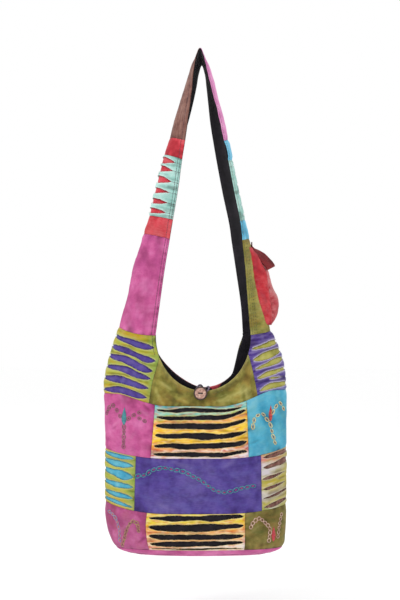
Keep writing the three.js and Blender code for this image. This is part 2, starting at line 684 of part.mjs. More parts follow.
function flap() {
  const flapBack = POUCH_BACK - 2;
  const sides = spread(POUCH_FRONT, flapBack, 5);
  const line = new THREE.CatmullRomCurve3(FLAP.map((row) => new THREE.Vector3(row.x, row.droop, row.z)));
  const grid = (lift) => sides.map((y) => spread(0, 1, 9).map((share) => {
    const p = line.getPoint(1 - share);
    const t = line.getTangent(1 - share).setY(0).normalize();
    const root = armPoint(y, p.z, PATCH + GAP).x - armPoint(0, p.z, PATCH + GAP).x;
    const drawn = Math.min(0, root) * smooth((share - 0.5) / 0.5);
    const rise = lift - p.y * ((flapBack - y) / (flapBack - POUCH_FRONT)) ** 1.3;
    return new THREE.Vector3(p.x - t.z * rise + drawn, y, p.z + t.x * rise);
  }));
  return cloth('pouch_flap', 0x8e1f2a, grid(FLAP_THICK), grid(0), false);
}

const yokeFace = bodySkin(BUTTON.turn, BUTTON.z, PATCH).y;

function button() {
  const disc = new THREE.Shape().absarc(0, 0, BUTTON.radius, 0, Math.PI * 2, false);
  for (const side of [-1, 1]) {
    disc.holes.push(new THREE.Path().absarc(side * BUTTON.spread, 0, BUTTON.hole, 0, Math.PI * 2, true));
  }
  const turned = { depth: BUTTON.thick, bevelEnabled: false, curveSegments: 12 };
  const geometry = new THREE.ExtrudeGeometry(disc, turned);
  geometry.rotateX(Math.PI / 2);
  geometry.translate(BUTTON.x, yokeFace - BUTTON.standoff, BUTTON.z);
  return named('button', geometry, 0xb58c78, 0.45);
}

function buttonThread() {
  const long = BUTTON.standoff - 2 * GAP;
  const geometry = new THREE.CylinderGeometry(BUTTON.shank, BUTTON.shank, long, 12);
  geometry.translate(BUTTON.x, yokeFace - BUTTON.standoff / 2, BUTTON.z);
  return named('button_thread', geometry, 0x2a1d1a, 0.9);
}

// The cord loop runs from the back edge of the mouth, over the front edge and round the button's thread
function buttonLoop() {
  const back = bodyPoint(180, mouthAt(180));
  const front = bodyPoint(BUTTON.turn, mouthAt(BUTTON.turn));
  const over = front.z + LOOP.cord + 1.9;
  const behind = yokeFace - BUTTON.standoff / 2;
  const half = (side, apart) => [
    new THREE.Vector3(side, back.y, back.z + LOOP.cord + 3.2),
    new THREE.Vector3(lerp(side, BUTTON.x + apart, 0.5), lerp(back.y, front.y, 0.5), over + 2.2),
    new THREE.Vector3(BUTTON.x + apart, front.y + 1.5, over),
    new THREE.Vector3(BUTTON.x + apart, behind + 0.9, over - 0.9),
    new THREE.Vector3(BUTTON.x + apart, behind, BUTTON.z + 1),
  ];
  const bottom = new THREE.Vector3(BUTTON.x, behind, BUTTON.z - 4.2);
  const down = half(LOOP.left, -LOOP.apart);
  const up = half(LOOP.right, LOOP.apart).reverse();
  const path = new THREE.CatmullRomCurve3([...down, bottom, ...up]);
  const steps = 24;
  const sides = 6;
  const faces = new Faces();
  const frames = path.computeFrenetFrames(steps, false);
  const ring = (i) => spread(0, 2 * Math.PI, sides).slice(0, -1).map((angle) => {
    const p = path.getPointAt(i / steps);
    p.addScaledVector(frames.normals[i], Math.cos(angle) * LOOP.cord);
    return p.addScaledVector(frames.binormals[i], Math.sin(angle) * LOOP.cord);
  });
  const rings = spread(0, steps, steps).map((i) => ring(i));
  for (let j = 0; j < sides; j += 1) {
    const n = (j + 1) % sides;
    for (let i = 0; i < steps; i += 1) {
      faces.quad(rings[i][j], rings[i][n], rings[i + 1][n], rings[i + 1][j]);
    }
    faces.triangle(path.getPointAt(0), rings[0][n], rings[0][j]);
    faces.triangle(path.getPointAt(1), rings[steps][j], rings[steps][n]);
  }
  return faces.mesh('button_loop', 0x3a2f3e);
}

const bag = new THREE.Group();
bag.name = 'sling_bag';
bag.add(...PLAIN.map(plainPatch));
bag.add(...CUT.flatMap(cutPatch));
bag.add(base(), lining());
bag.add(...BANDS.map(band));
bag.add(...CUT_BANDS.flatMap(cutBand));
bag.add(strapLining(), pouch(), flap());
bag.add(button(), buttonThread(), buttonLoop());

export default bag;
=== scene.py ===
# %% [markdown]
# # A patchwork hobo bag of razor-cut cotton
# The bag hangs by its strap. It is sewn from plain patches and from slashed ones, where the top cloth is
# cut in slits and washed, so that the edges curl and fray and a second colour shows through. This lesson
# loads the solid model as a fixed frame and dresses each solid in cloth, thread, shell and cord.

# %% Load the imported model
import json
import math

import bmesh
import bpy
import numpy as np
from mathutils import Matrix, Vector
from mathutils.bvhtree import BVHTree


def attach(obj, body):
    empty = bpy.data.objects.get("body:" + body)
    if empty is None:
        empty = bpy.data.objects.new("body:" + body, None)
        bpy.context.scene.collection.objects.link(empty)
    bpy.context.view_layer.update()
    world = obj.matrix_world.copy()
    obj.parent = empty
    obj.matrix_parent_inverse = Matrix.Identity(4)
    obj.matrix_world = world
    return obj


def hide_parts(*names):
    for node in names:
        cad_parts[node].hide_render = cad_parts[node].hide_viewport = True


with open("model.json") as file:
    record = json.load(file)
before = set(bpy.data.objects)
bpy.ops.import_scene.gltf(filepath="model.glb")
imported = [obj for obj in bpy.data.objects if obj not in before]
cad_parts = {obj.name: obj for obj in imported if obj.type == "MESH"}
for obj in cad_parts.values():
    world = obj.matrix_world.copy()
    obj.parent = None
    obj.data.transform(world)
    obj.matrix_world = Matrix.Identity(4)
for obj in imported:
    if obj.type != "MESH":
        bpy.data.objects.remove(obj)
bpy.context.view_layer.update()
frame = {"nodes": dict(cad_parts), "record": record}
SLOT = {row["node"]: row["material_slot"] for row in frame["record"]["subparts"]}
MM = 0.001
print("nodes in the frame:", len(frame["nodes"]))

# %% [markdown]
# ## Camera
# The photograph was taken straight from the front, from about two and a half metres, at the middle of the
# bag's height. A picture 600 pixels tall takes in 1.2 m there, which settles the lens.

# %% Camera
CAMERA_AWAY = 2.5
CAMERA_HEIGHT = -0.485
VIEW_TALL = 1.2
camera_data = bpy.data.cameras.new("camera")
camera_data.lens = camera_data.sensor_width * CAMERA_AWAY / VIEW_TALL
camera = bpy.data.objects.new("camera", camera_data)
camera.location = (0, -CAMERA_AWAY, CAMERA_HEIGHT)
camera.rotation_euler = (math.radians(90), 0, 0)
bpy.context.scene.collection.objects.link(camera)
bpy.context.scene.camera = camera
print("lens in millimetres:", round(camera_data.lens, 1))

# %% [markdown]
# ## The shape of the body
# The body is a flat sack with an oval section. A short table gives the section at a few heights, and a
# smooth reading of it gives any point. Degrees run round the oval: 0 is the middle of the front, 90 the
# right side and 180 the middle of the back. The same sizes made the solids, so cloth lands on them.

# %% Sizes of the body, in millimetres
FLOOR = -990
JOINT = -555
SEAM = 0.1
ROUNDNESS = 2.3
MEAN_RADIUS = 130
# Height, then the middle of the oval section, half its width and half its depth
BODY = np.array([
    (-990, 1.6, 128.0, 30.0),
    (-984, 0.0, 152.0, 39.0),
    (-977, -1.5, 164.0, 44.0),
    (-949, -5.5, 174.0, 48.0),
    (-920, -8.3, 178.6, 49.0),
    (-885, -8.5, 178.8, 49.0),
    (-781, -8.3, 179.2, 48.0),
    (-715, -8.6, 179.8, 45.0),
    (-655, -10.0, 180.0, 40.0),
    (-625, -9.2, 176.2, 38.0),
    (-601, -8.4, 171.2, 37.5),
    (-575, -9.6, 162.6, 38.0),
    (-555, -10.5, 154.5, 39.0),
    (-535, -13.0, 146.5, 40.0),
])
# Seam lines: height in the middle, how far each side is pulled up, and the degrees of the rise
ROWS = {
    "joint": dict(middle=JOINT, left=16, right=8, start=28, end=90),
    "yoke": dict(middle=-694.5, left=24, right=31, start=12, end=58),
    "second": dict(middle=-796.5, left=16.5, right=19.5, start=15, end=90),
    "third": dict(middle=-905, left=20, right=14, start=15, end=90),
    "base": dict(middle=-977, left=1, right=1, start=15, end=90),
}
MOUTH = {
    "front": dict(centre=6.4, half=94, drop=109, lean_left=0, lean_right=0),
    "back": dict(centre=-2, half=94, drop=105, lean_left=0.3, lean_right=0.14),
}
# The back edge hangs inwards on the right: how far it is raised there, between two places across
SAG = dict(rise=37, start=64, end=82)
PINCH = dict(front=0.2, back=0.42, width=55, low=-735, high=-660)
print("body, width and height in millimetres:", 2 * BODY[:, 2].max(), JOINT - FLOOR)


# %% Points on the body
def smooth(value):
    x = np.clip(value, 0, 1)
    return x * x * (3 - 2 * x)


def mix(a, b, share):
    return a + (b - a) * share


def unit(vectors):
    return vectors / np.maximum(np.linalg.norm(vectors, axis=-1, keepdims=True), 1e-9)


def signed_power(value, exponent):
    return np.sign(value) * np.abs(value) ** exponent


def hermite(keys, values, at):
    """A smooth curve through the rows of a table, whose values are numbers or lists of numbers."""
    at = np.asarray(at, float)
    wide = [1] * (values.ndim - 1)
    slopes = np.empty(values.shape)
    slopes[1:-1] = (values[2:] - values[:-2]) / (keys[2:] - keys[:-2]).reshape(-1, *wide)
    slopes[0] = (values[1] - values[0]) / (keys[1] - keys[0])
    slopes[-1] = (values[-1] - values[-2]) / (keys[-1] - keys[-2])
    k = np.clip(np.searchsorted(keys, at, side="right") - 1, 0, len(keys) - 2)
    run = (keys[k + 1] - keys[k]).reshape(*at.shape, *wide)
    s = (at - keys[k]).reshape(*at.shape, *wide) / run
    start = values[k] * (2 * s**3 - 3 * s**2 + 1) + slopes[k] * run * (s**3 - 2 * s**2 + s)
    return start + values[k + 1] * (3 * s**2 - 2 * s**3) + slopes[k + 1] * run * (s**3 - s**2)


def body_point(turn, z):
    turn, z = np.broadcast_arrays(np.asarray(turn, float), np.asarray(z, float))
    centre, half, depth = np.moveaxis(hermite(BODY[:, 0], BODY[:, 1:], z), -1, 0)
    side = half * signed_power(np.sin(np.radians(turn)), 2 / ROUNDNESS)
    facing = np.cos(np.radians(turn))
    draw = np.where(facing > 0, PINCH["front"], PINCH["back"])
    near = smooth((z - PINCH["low"]) / (PINCH["high"] - PINCH["low"]))
    near = near * np.exp(-((side / PINCH["width"]) ** 2))
    y = -depth * signed_power(facing, 2 / ROUNDNESS) * (1 - draw * near)
    return np.stack([centre + side, y, z], -1)


def body_out(turn, z):
    across = body_point(turn + 0.6, z) - body_point(turn - 0.6, z)
    up = body_point(turn, z + 2) - body_point(turn, z - 2)
    return unit(np.cross(across, up))


def row_height(row, turn):
    round_front = (np.asarray(turn, float) + 540) % 360 - 180
    behind = np.abs(round_front) > 90
    apart = np.where(behind, 180 - np.abs(round_front), np.abs(round_front))
    line = ROWS[row]
    pull = np.where(round_front < 0, line["left"], line["right"])
    end = np.where(behind, 90, line["end"])
    return line["middle"] + pull * smooth((apart - line["start"]) / (end - line["start"]))


def mouth_height(edge, x):
    apart = x - edge["centre"]
    share = np.minimum(1, np.abs(apart) / edge["half"])
    lean = np.where(apart < 0, edge["lean_left"], edge["lean_right"])
    return JOINT - np.sqrt(1 - share * share) * (edge["drop"] + lean * apart)


def back_height(x):
    share = smooth((x - SAG["start"]) / (SAG["end"] - SAG["start"]))
    return mouth_height(MOUTH["back"], x) + SAG["rise"] * share


def mouth_at(turn):
    """Height of the edge of the mouth, found by halving."""
    turn = np.asarray(turn, float)
    in_front = np.cos(np.radians(turn)) > 0
    low = np.full(turn.shape, -690.0)
    high = np.full(turn.shape, float(JOINT))
    for _ in range(30):
        middle = (low + high) / 2
        x = body_point(turn, middle)[..., 0]
        edge = np.where(in_front, mouth_height(MOUTH["front"], x), back_height(x))
        low = np.where(middle < edge, middle, low)
        high = np.where(middle < edge, high, middle)
    return (low + high) / 2


print("height of the mouth in the middle of the front:", round(float(mouth_at(0)), 1))

# %% [markdown]
# The edge of the mouth is also read the other way, from a height to degrees. A table of the edge from
# its lowest place outwards, read by `np.interp`, does that for whole arrays at once.

# %% Corners of the mouth
MOUTH_SIDES = {
    ("front", 1): (4, 70),
    ("front", -1): (4, -70),
    ("back", 1): (180, 110),
    ("back", -1): (-180, -110),
}
MOUTH_EDGE = {}
for key, (inner, outer) in MOUTH_SIDES.items():
    turns = np.linspace(inner, outer, 400)
    MOUTH_EDGE[key] = np.maximum.accumulate(mouth_at(turns)), turns
CORNER = {key: float(np.interp(JOINT - 0.5, *MOUTH_EDGE[key])) for key in MOUTH_SIDES}


def top_of(turn):
    round_front = (np.asarray(turn, float) + 540) % 360 - 180
    in_front = (round_front > CORNER["front", -1]) & (round_front < CORNER["front", 1])
    in_back = (round_front > CORNER["back", 1]) | (round_front < CORNER["back", -1])
    return np.where(in_front | in_back, mouth_at(round_front), row_height("joint", round_front))


print("the strap leaves the mouth at:", {key: round(turn, 1) for key, turn in CORNER.items()})

# %% [markdown]
# ## Patches
# A patch lies between two seam lines and two edges. A shoulder's inner edge follows its seam with the
# yoke and then the mouth itself, so that edge is settled by a few rounds of trial and correction.
# Each piece of cloth becomes a function from two shares, across and up, to a point and the way out.

# %% Places on a patch
EDGE_SHARES = np.linspace(0, 1, 161)


def line_height(row, turn):
    return mouth_at(turn) if row == "mouth" else row_height(row, turn)


def edge_turns(low, high, bottom, top):
    """Degrees of a patch's edge at each of the shares of its height."""
    if high not in ("joint", "mouth"):
        return mix(bottom, top, EDGE_SHARES)
    meets = float(mouth_at(top))
    base = float(row_height(low, bottom))
    edge = MOUTH_EDGE["back" if abs(top) > 90 else "front", 1 if top > 0 else -1]
    turn = np.full(EDGE_SHARES.shape, float(bottom))
    for _ in range(12):
        z = mix(line_height(low, turn), line_height(high, turn), EDGE_SHARES)
        on_seam = mix(bottom, top, np.minimum(1, (z - base) / (meets - base)))
        on_mouth = np.interp(np.minimum(z, JOINT - 0.5), *edge)
        turn = np.where((high == "joint") & (z > meets), on_mouth, on_seam)
    return turn


def patch_place(low, high, left, right):
    left_turns = edge_turns(low, high, *left)
    right_turns = edge_turns(low, high, *right)

    def place(across, share):
        start = np.interp(share, EDGE_SHARES, left_turns)
        end = np.interp(share, EDGE_SHARES, right_turns)
        inset = SEAM / (np.radians(end - start) * MEAN_RADIUS)
        turn = mix(start, end, inset + across * (1 - 2 * inset))
        z = mix(line_height(low, turn) + SEAM, line_height(high, turn) - SEAM, share)
        return body_point(turn, z), body_out(turn, z)

    return place


# The seam lines below and above, and the left and right edges in degrees at the bottom and the top
PLAIN = {
    "yoke_front": ("yoke", "mouth", (-27.1, -21.6), (40.2, 34.8)),
    "second_left": ("second", "yoke", (-132, -132), (-26.5, -23)),
    "second_right": ("second", "yoke", (32.3, 30.9), (132, 132)),
    "third_front": ("third", "second", (-39.6, -38.2), (44, 43)),
    "fourth_left": ("base", "third", (-132, -132), (-33.6, -29)),
    "fourth_right": ("base", "third", (29.4, 29.6), (132, 132)),
    "yoke_back": ("yoke", "mouth", (150, 153), (210, 207)),
    "second_back": ("second", "yoke", (132, 132), (228, 228)),
    "third_back": ("third", "second", (140, 140), (220, 220)),
    "fourth_back": ("base", "third", (132, 132), (228, 228)),
}
PLACE = {name: patch_place(*row) for name, row in PLAIN.items()}
print("plain patches:", len(PLACE))

# %% [markdown]
# ## The strap
# The strap is one band with a curled section. Three lines describe it from the left joint over the top to
# the right joint: the front edge, the outermost line and the back edge. A parabola joins them across, and
# near each joint the band takes the shape of the body's top edge.

# %% Places on the strap
STRAP = {
    "left_foot": ((-79.6, -32, -494.9), (-145.0, 0, -481.0), (-93.3, 36, -494.9)),
    "left_knee": ((-70.0, -29, -425.7), (-129.1, 0, -413.0), (-87.4, 36, -425.7)),
    "left_pink": ((-59.7, -27, -363.9), (-110.7, 0, -353.0), (-80.2, 36, -363.9)),
    "left_red": ((-53.5, -26, -325.9), (-99.4, 0, -316.6), (-72.9, 35, -325.9)),
    "left_middle": ((-43.6, -25, -267.2), (-85.1, 0, -257.0), (-59.9, 34, -267.2)),
    "left_mint": ((-35.3, -26, -206.5), (-69.8, 0, -195.2), (-47.9, 34, -206.5)),
    "left_crimson": ((-29.3, -28, -169.0), (-59.1, 0, -161.0), (-37.7, 32, -169.0)),
    "left_upper": ((-23.1, -31, -125.5), (-47.7, 0, -121.0), (-24.5, 30, -127.5)),
    "left_high": ((-16.2, -33, -78.4), (-33.0, 0, -75.0), (-13.6, 30, -84.4)),
    "left_neck": ((-12.5, -32, -42.7), (-21.5, 0, -41.0), (-7.0, 31, -52.7)),
    "left_crest": ((-8.9, -31, -14.9), (-12.7, 0, -16.0), (-3.2, 30, -29.9)),
    "top": ((0.4, -30, 13.0), (1.0, 0, 1.6), (3.6, 30, -10.0)),
    "right_crest": ((9.9, -31, -14.9), (14.6, 0, -16.0), (10.4, 30, -29.9)),
    "right_neck": ((15.8, -32, -42.7), (23.0, 0, -40.0), (13.2, 31, -52.7)),
    "right_high": ((25.1, -33, -78.4), (31.1, 0, -73.0), (16.6, 31, -84.4)),
    "right_upper": ((36.3, -34, -126.0), (43.8, 0, -121.0), (21.3, 33, -128.0)),
    "right_rose": ((47.2, -35, -170.7), (53.6, 0, -166.2), (28.2, 35, -170.7)),
    "right_sky": ((55.7, -36, -210.0), (61.7, 0, -206.0), (35.1, 36, -210.0)),
    "right_middle": ((66.8, -37, -268.3), (74.1, 0, -265.0), (46.2, 38, -268.3)),
    "right_mint": ((79.2, -38, -329.4), (87.1, 0, -325.0), (59.3, 40, -329.4)),
    "right_cyan": ((83.2, -37, -366.8), (96.4, 0, -363.0), (64.6, 41, -366.8)),
    "right_knee": ((88.7, -35, -425.8), (106.0, 0, -421.0), (73.5, 42, -425.8)),
    "right_foot": ((94.8, -32, -494.9), (119.0, 0, -489.0), (83.3, 42, -494.9)),
}
STRAP_ENDS = {
    "left_joint": (CORNER["front", -1], -90, CORNER["back", -1]),
    "right_joint": (CORNER["front", 1], 90, CORNER["back", 1]),
}
STATIONS = ["left_joint", *STRAP, "right_joint"]
LAST = len(STATIONS) - 1


def joint_rails(name, rise):
    front, side, back = STRAP_ENDS[name]
    return body_point(front, JOINT), body_point(side, JOINT + rise), body_point(back, JOINT)


RAILS = np.array([
    joint_rails("left_joint", ROWS["joint"]["left"]),
    *STRAP.values(),
    joint_rails("right_joint", ROWS["joint"]["right"]),
])


def on_rails(across, station):
    rails = hermite(np.arange(LAST + 1.0), RAILS, np.clip(station, 0, LAST))
    front, side, back = np.moveaxis(rails, -2, 0)
    w = across[..., None]
    return side + (back - front) * w / 2 + (back + front - 2 * side) * w * w / 2


def joint_point(across, name):
    front, side, back = STRAP_ENDS[name]
    turn = mix(side, np.where(across < 0, front, back), np.abs(across) ** 1.25)
    return body_point(turn, row_height("joint", turn))


def strap_point(across, station):
    """A point of the strap; across runs from 1 at the back edge to -1 at the front edge."""
    across, station = np.broadcast_arrays(np.asarray(across, float), np.asarray(station, float))
    point = on_rails(across, station)
    for end, name in ((0, "left_joint"), (LAST, "right_joint")):
        shift = joint_point(across, name) - on_rails(across, np.full(station.shape, float(end)))
        point = point + shift * (1 - smooth(np.abs(station - end) / 2))[..., None]
    return point


def strap_out(across, station):
    h = 0.05
    over = strap_point(across - h, station) - strap_point(across + h, station)
    ahead, behind = np.minimum(LAST, station + h), np.maximum(0, station - h)
    return unit(np.cross(over, strap_point(across, ahead) - strap_point(across, behind)))


def band_place(first, last):
    start, end = STATIONS.index(first), STATIONS.index(last)

    def place(across, share):
        w, station = 1 - 2 * across, mix(start, end, share)
        return strap_point(w, station), strap_out(w, station)

    return place


BANDS = {
    "strap_left_pink": ("left_joint", "left_pink"),
    "strap_left_red": ("left_pink", "left_red"),
    "strap_left_crimson": ("left_mint", "left_crimson"),
    "strap_left_brown": ("left_crimson", "top"),
    "strap_right_pink": ("top", "right_rose"),
    "strap_right_sky": ("right_rose", "right_sky"),
    "strap_right_cyan": ("right_mint", "right_cyan"),
    "strap_right_olive": ("right_cyan", "right_joint"),
}
for name, ends in BANDS.items():
    PLACE[name] = band_place(*ends)
print("strap bands:", len(BANDS))

# %% [markdown]
# ## Dyed cotton
# Every cloth here is thin plain-weave cotton, garment-dyed and stone-washed. Dye gathers in clouds and
# fades on ridges and cut edges; on ridges a painted highlight adds to the fading, and creases are darkened
# with painted shade. One function adds a node with its settings and links; the material function then
# reads like a recipe. Clouds sit on Object coordinates. The weave follows the cloth's own UV map, which is
# in metres, so a thread keeps its size however the patch is bent.

# %% Colours and nodes
def colour(code):
    """An sRGB hex colour as the linear values that Blender's nodes use."""
    parts = [int(code[i:i + 2], 16) / 255 for i in (1, 3, 5)]
    linear = [c / 12.92 if c <= 0.04045 else ((c + 0.055) / 1.055) ** 2.4 for c in parts]
    return (*linear, 1.0)


def add(tree, kind, settings=None, inputs=None, stops=()):
    """Adds a node, sets it up and links it; an input is named or numbered, and is a value or a socket."""
    node = tree.nodes.new(kind)
    for key, value in (settings or {}).items():
        setattr(node, key, value)
    for key, value in (inputs or {}).items():
        if isinstance(value, bpy.types.NodeSocket):
            tree.links.new(value, node.inputs[key])
        else:
            node.inputs[key].default_value = value
    for i, (place, code) in enumerate(stops):
        element = node.color_ramp.elements[i] if i < 2 else node.color_ramp.elements.new(place)
        element.position = place
        element.color = colour(code)
    return node


def new_material(name):
    material = bpy.data.materials.new(name)
    material.use_nodes = True
    material.node_tree.nodes.clear()
    return material, material.node_tree


# The threads of the cloth are about 0.4 mm apart, too fine to show here, so the weave is drawn coarser
WEAVE_PITCH = 1.6 * MM
WAVE_PERIOD = math.pi / 10
SLUB_LONG, SLUB_TALL = 9 * MM, 2.6 * MM
# Multiplied into the colour of creases as painted shade
CREASE_SHADE = "#8C7C7A"
FINISH = {}


def cotton(name, stops, follow=0, lean=0, swirl=2.2, cloud_size=30, blotches=(), margin=None,
           fray="#EFE9DD", wash=0.22, rim=0.7):
    """Washed plain-weave cotton: stops give its dyes, spread by clouds or following the patch upwards.

    lean tilts dyes that follow the patch. A blotch has a dye, its length and height in millimetres and its
    strength, and margin is a dye along one side. wash and rim say how far ridges and cut edges have faded;
    on ridges wash also sets a painted highlight, and creases get painted shade.
    """
    material, tree = new_material(name)
    where = add(tree, "ShaderNodeTexCoord")
    object_place, uv = where.outputs["Object"], where.outputs["UV"]
    value = {
        key: add(tree, "ShaderNodeAttribute", {"attribute_name": key}).outputs["Fac"]
        for key in ("share", "across", "edge", "worn")
    }
    clouds = add(tree, "ShaderNodeTexNoise", inputs={
        "Vector": object_place, "Scale": 1 / (cloud_size * MM), "Detail": 4, "Roughness": 0.6,
    })
    spread = add(tree, "ShaderNodeMath", {"operation": "MULTIPLY_ADD"}, {
        0: clouds.outputs[0], 1: swirl, 2: (0 if follow else 0.5) - swirl / 2,
    })
    dye = add(tree, "ShaderNodeMath", {"operation": "MULTIPLY_ADD"}, {
        0: value["share"], 1: follow, 2: spread.outputs[0],
    })
    leaning = add(tree, "ShaderNodeMath", {"operation": "MULTIPLY_ADD"}, {
        0: value["across"], 1: -lean, 2: dye.outputs[0],
    })
    paint = add(tree, "ShaderNodeValToRGB", inputs={0: leaning.outputs[0]}, stops=stops).outputs[0]
    for seed, (code, long, tall, amount) in enumerate(blotches):
        stretched = add(tree, "ShaderNodeMapping", inputs={
            "Vector": uv, "Scale": (1 / (long * MM), 1 / (tall * MM), 1), "Location": (7.3 * seed, 3.1, 0),
        })
        noise = add(tree, "ShaderNodeTexNoise", inputs={
            "Vector": stretched.outputs[0], "Scale": 1, "Detail": 2,
        })
        patchy = add(tree, "ShaderNodeMapRange", inputs={
            "Value": noise.outputs[0], "From Min": 0.48, "From Max": 0.66, "To Max": amount,
        })
        paint = add(tree, "ShaderNodeMix", {"data_type": "RGBA"}, {
            0: patchy.outputs[0], 6: paint, 7: colour(code),
        }).outputs[2]
    if margin:
        code, start, end, amount = margin
        ragged = add(tree, "ShaderNodeMath", {"operation": "MULTIPLY_ADD"}, {
            0: clouds.outputs[0], 1: 0.3, 2: value["across"],
        })
        beside = add(tree, "ShaderNodeMapRange", inputs={
            "Value": ragged.outputs[0], "From Min": start + 0.15, "From Max": end + 0.15, "To Max": amount,
        })
        paint = add(tree, "ShaderNodeMix", {"data_type": "RGBA"}, {
            0: beside.outputs[0], 6: paint, 7: colour(code),
        }).outputs[2]
    slub_place = add(tree, "ShaderNodeMapping", inputs={
        "Vector": uv, "Scale": (1 / SLUB_LONG, 1 / SLUB_TALL, 1),
    })
    slubs = add(tree, "ShaderNodeTexNoise", inputs={
        "Vector": slub_place.outputs[0], "Scale": 1, "Detail": 2,
    })
    faded = add(tree, "ShaderNodeMapRange", inputs={
        "Value": slubs.outputs[0], "From Min": 0.42, "From Max": 0.75, "To Max": 0.45 * wash,
    })
    # Painted shade: where the value is below zero, in creases and under the lips of slits, the colour is
    # multiplied darker
    painted_crease_shade = add(tree, "ShaderNodeMapRange", inputs={
        "Value": value["worn"], "From Min": -0.1, "From Max": -0.8, "To Max": 0.6,
    })
    paint = add(tree, "ShaderNodeMix", {"data_type": "RGBA", "blend_type": "MULTIPLY"}, {
        0: painted_crease_shade.outputs[0], 6: paint, 7: colour(CREASE_SHADE),
    }).outputs[2]
    # Where the value is above zero, on ridges, the colour goes towards the fray colour: partly fading from
    # the wash, partly painted highlight
    fading_and_highlight = add(tree, "ShaderNodeMath", {"operation": "MULTIPLY_ADD"}, {
        0: value["worn"], 1: wash, 2: faded.outputs[0],
    })
    paint = add(tree, "ShaderNodeMix", {"data_type": "RGBA"}, {
        0: fading_and_highlight.outputs[0], 6: paint, 7: colour(fray),
    }).outputs[2]
    frayed = add(tree, "ShaderNodeMath", {"operation": "MULTIPLY"}, {0: value["edge"], 1: rim})
    paint = add(tree, "ShaderNodeMix", {"data_type": "RGBA"}, {
        0: frayed.outputs[0], 6: paint, 7: colour(fray),
    }).outputs[2]
    threads = [
        add(tree, "ShaderNodeTexWave", {"bands_direction": way}, {
            "Vector": uv, "Scale": WAVE_PERIOD / WEAVE_PITCH, "Distortion": 0.6,
        }).outputs["Fac"]
        for way in ("X", "Y")
    ]
    weave = add(tree, "ShaderNodeMath", {"operation": "MULTIPLY"}, {0: threads[0], 1: threads[1]})
    crumple = add(tree, "ShaderNodeMath", {"operation": "MULTIPLY_ADD"}, {
        0: slubs.outputs[0], 1: 0.8, 2: weave.outputs[0],
    })
    bump = add(tree, "ShaderNodeBump", inputs={
        "Height": crumple.outputs[0], "Strength": 0.5, "Distance": 0.35 * MM,
    })
    shader = add(tree, "ShaderNodeBsdfPrincipled", inputs={
        "Base Color": paint, "Normal": bump.outputs[0], "Roughness": 0.92, "Specular IOR Level": 0.2,
        "Sheen Weight": 0.12, "Sheen Roughness": 0.5,
    })
    add(tree, "ShaderNodeOutputMaterial", inputs={"Surface": shader.outputs[0]})
    FINISH[name] = material


print("weave pitch in metres:", WEAVE_PITCH)

# %% [markdown]
# The plain colours come first. Each has three stops, from the dark to the light of its clouds.

# %% Plain dyes
def plain_dye(name, dark, middle, pale, low=0.2, **looks):
    """A plain colour, from the dark to the light of its clouds."""
    cotton(name, ((low, dark), (0.5, middle), (0.85, pale)), **looks)


plain_dye("olive_cotton", "#645F24", "#857D38", "#9F9448", low=0.15, cloud_size=24, fray="#C2BB74",
          wash=0.45, blotches=(("#5A6630", 40, 16, 0.45), ("#A07A38", 30, 12, 0.4)))
plain_dye("pink_cotton", "#AC467E", "#C25890", "#CF70A4", cloud_size=36, fray="#E2A0C2",
          blotches=(("#B04A86", 12, 40, 0.4),))
plain_dye("cyan_cotton", "#3890B0", "#4AA3C0", "#68B4CA", cloud_size=40, fray="#A5D5DF",
          blotches=(("#63A9B0", 30, 20, 0.5),))
plain_dye("purple_cotton", "#3E2E74", "#4A3984", "#564593", cloud_size=22, fray="#9084B6",
          blotches=(("#565399", 30, 12, 0.4),))
plain_dye("red_cotton", "#B62C38", "#C83A46", "#D24E58", fray="#E8A0A0")
plain_dye("mint_cotton", "#86B9AF", "#9CCAC1", "#B6DAD2", fray="#DDEEE8")
plain_dye("brown_cotton", "#5C3932", "#734B43", "#896156", cloud_size=16, fray="#A98B80",
          blotches=(("#977368", 4, 40, 0.6),))
plain_dye("black_cotton", "#0F0D11", "#17141A", "#211C23", fray="#4A434E", wash=0.12)
plain_dye("crimson_cotton", "#A8222E", "#BE2C36", "#CC3C44", cloud_size=18, fray="#E0A09C",
          blotches=(("#A03040", 16, 24, 0.5),))
plain_dye("maroon_cotton", "#4E080E", "#6E0C14", "#88161E", fray="#A85A5C", wash=0.12, rim=0.5)
# The same dyes on pieces that have faded less or more; the darker pink and olive, on the lowest row, are
# painted shade
plain_dye("shaded_pink_cotton", "#94406C", "#A84A7C", "#B8608E", cloud_size=26, fray="#D090B2",
          blotches=(("#9C4660", 16, 24, 0.5),))
plain_dye("pale_pink_cotton", "#CC70AC", "#DA86BC", "#E69ECA", fray="#F0C4DE")
plain_dye("shaded_olive_cotton", "#5A5224", "#746A34", "#8C7E44", low=0.15, cloud_size=24, fray="#B4AB70",
          blotches=(("#54602E", 30, 16, 0.45), ("#8A6A38", 30, 12, 0.45)))
plain_dye("pale_olive_cotton", "#8E8A3E", "#A6A24E", "#B6B060", cloud_size=24, fray="#CFCB98")
plain_dye("sky_cotton", "#52AACE", "#66BCDC", "#82CCE6", fray="#BCE2EE")
plain_dye("bright_red_cotton", "#DC4A58", "#E85E6A", "#EE7A82", fray="#F4B4B4")
plain_dye("faded_crimson_cotton", "#9C343A", "#B4444A", "#C05E62", low=0.15, cloud_size=18, fray="#E3B4B2",
          wash=0.5, blotches=(("#B03A46", 14, 20, 0.6),))
print("plain dyes:", len(FINISH))

# %% [markdown]
# ## Tie-dye
# On the tied cloths the dye runs in bands up the patch, so the stops follow the share of its height, bent
# by clouds, and small blotches of a second and a third dye lie over them along the cut strips.

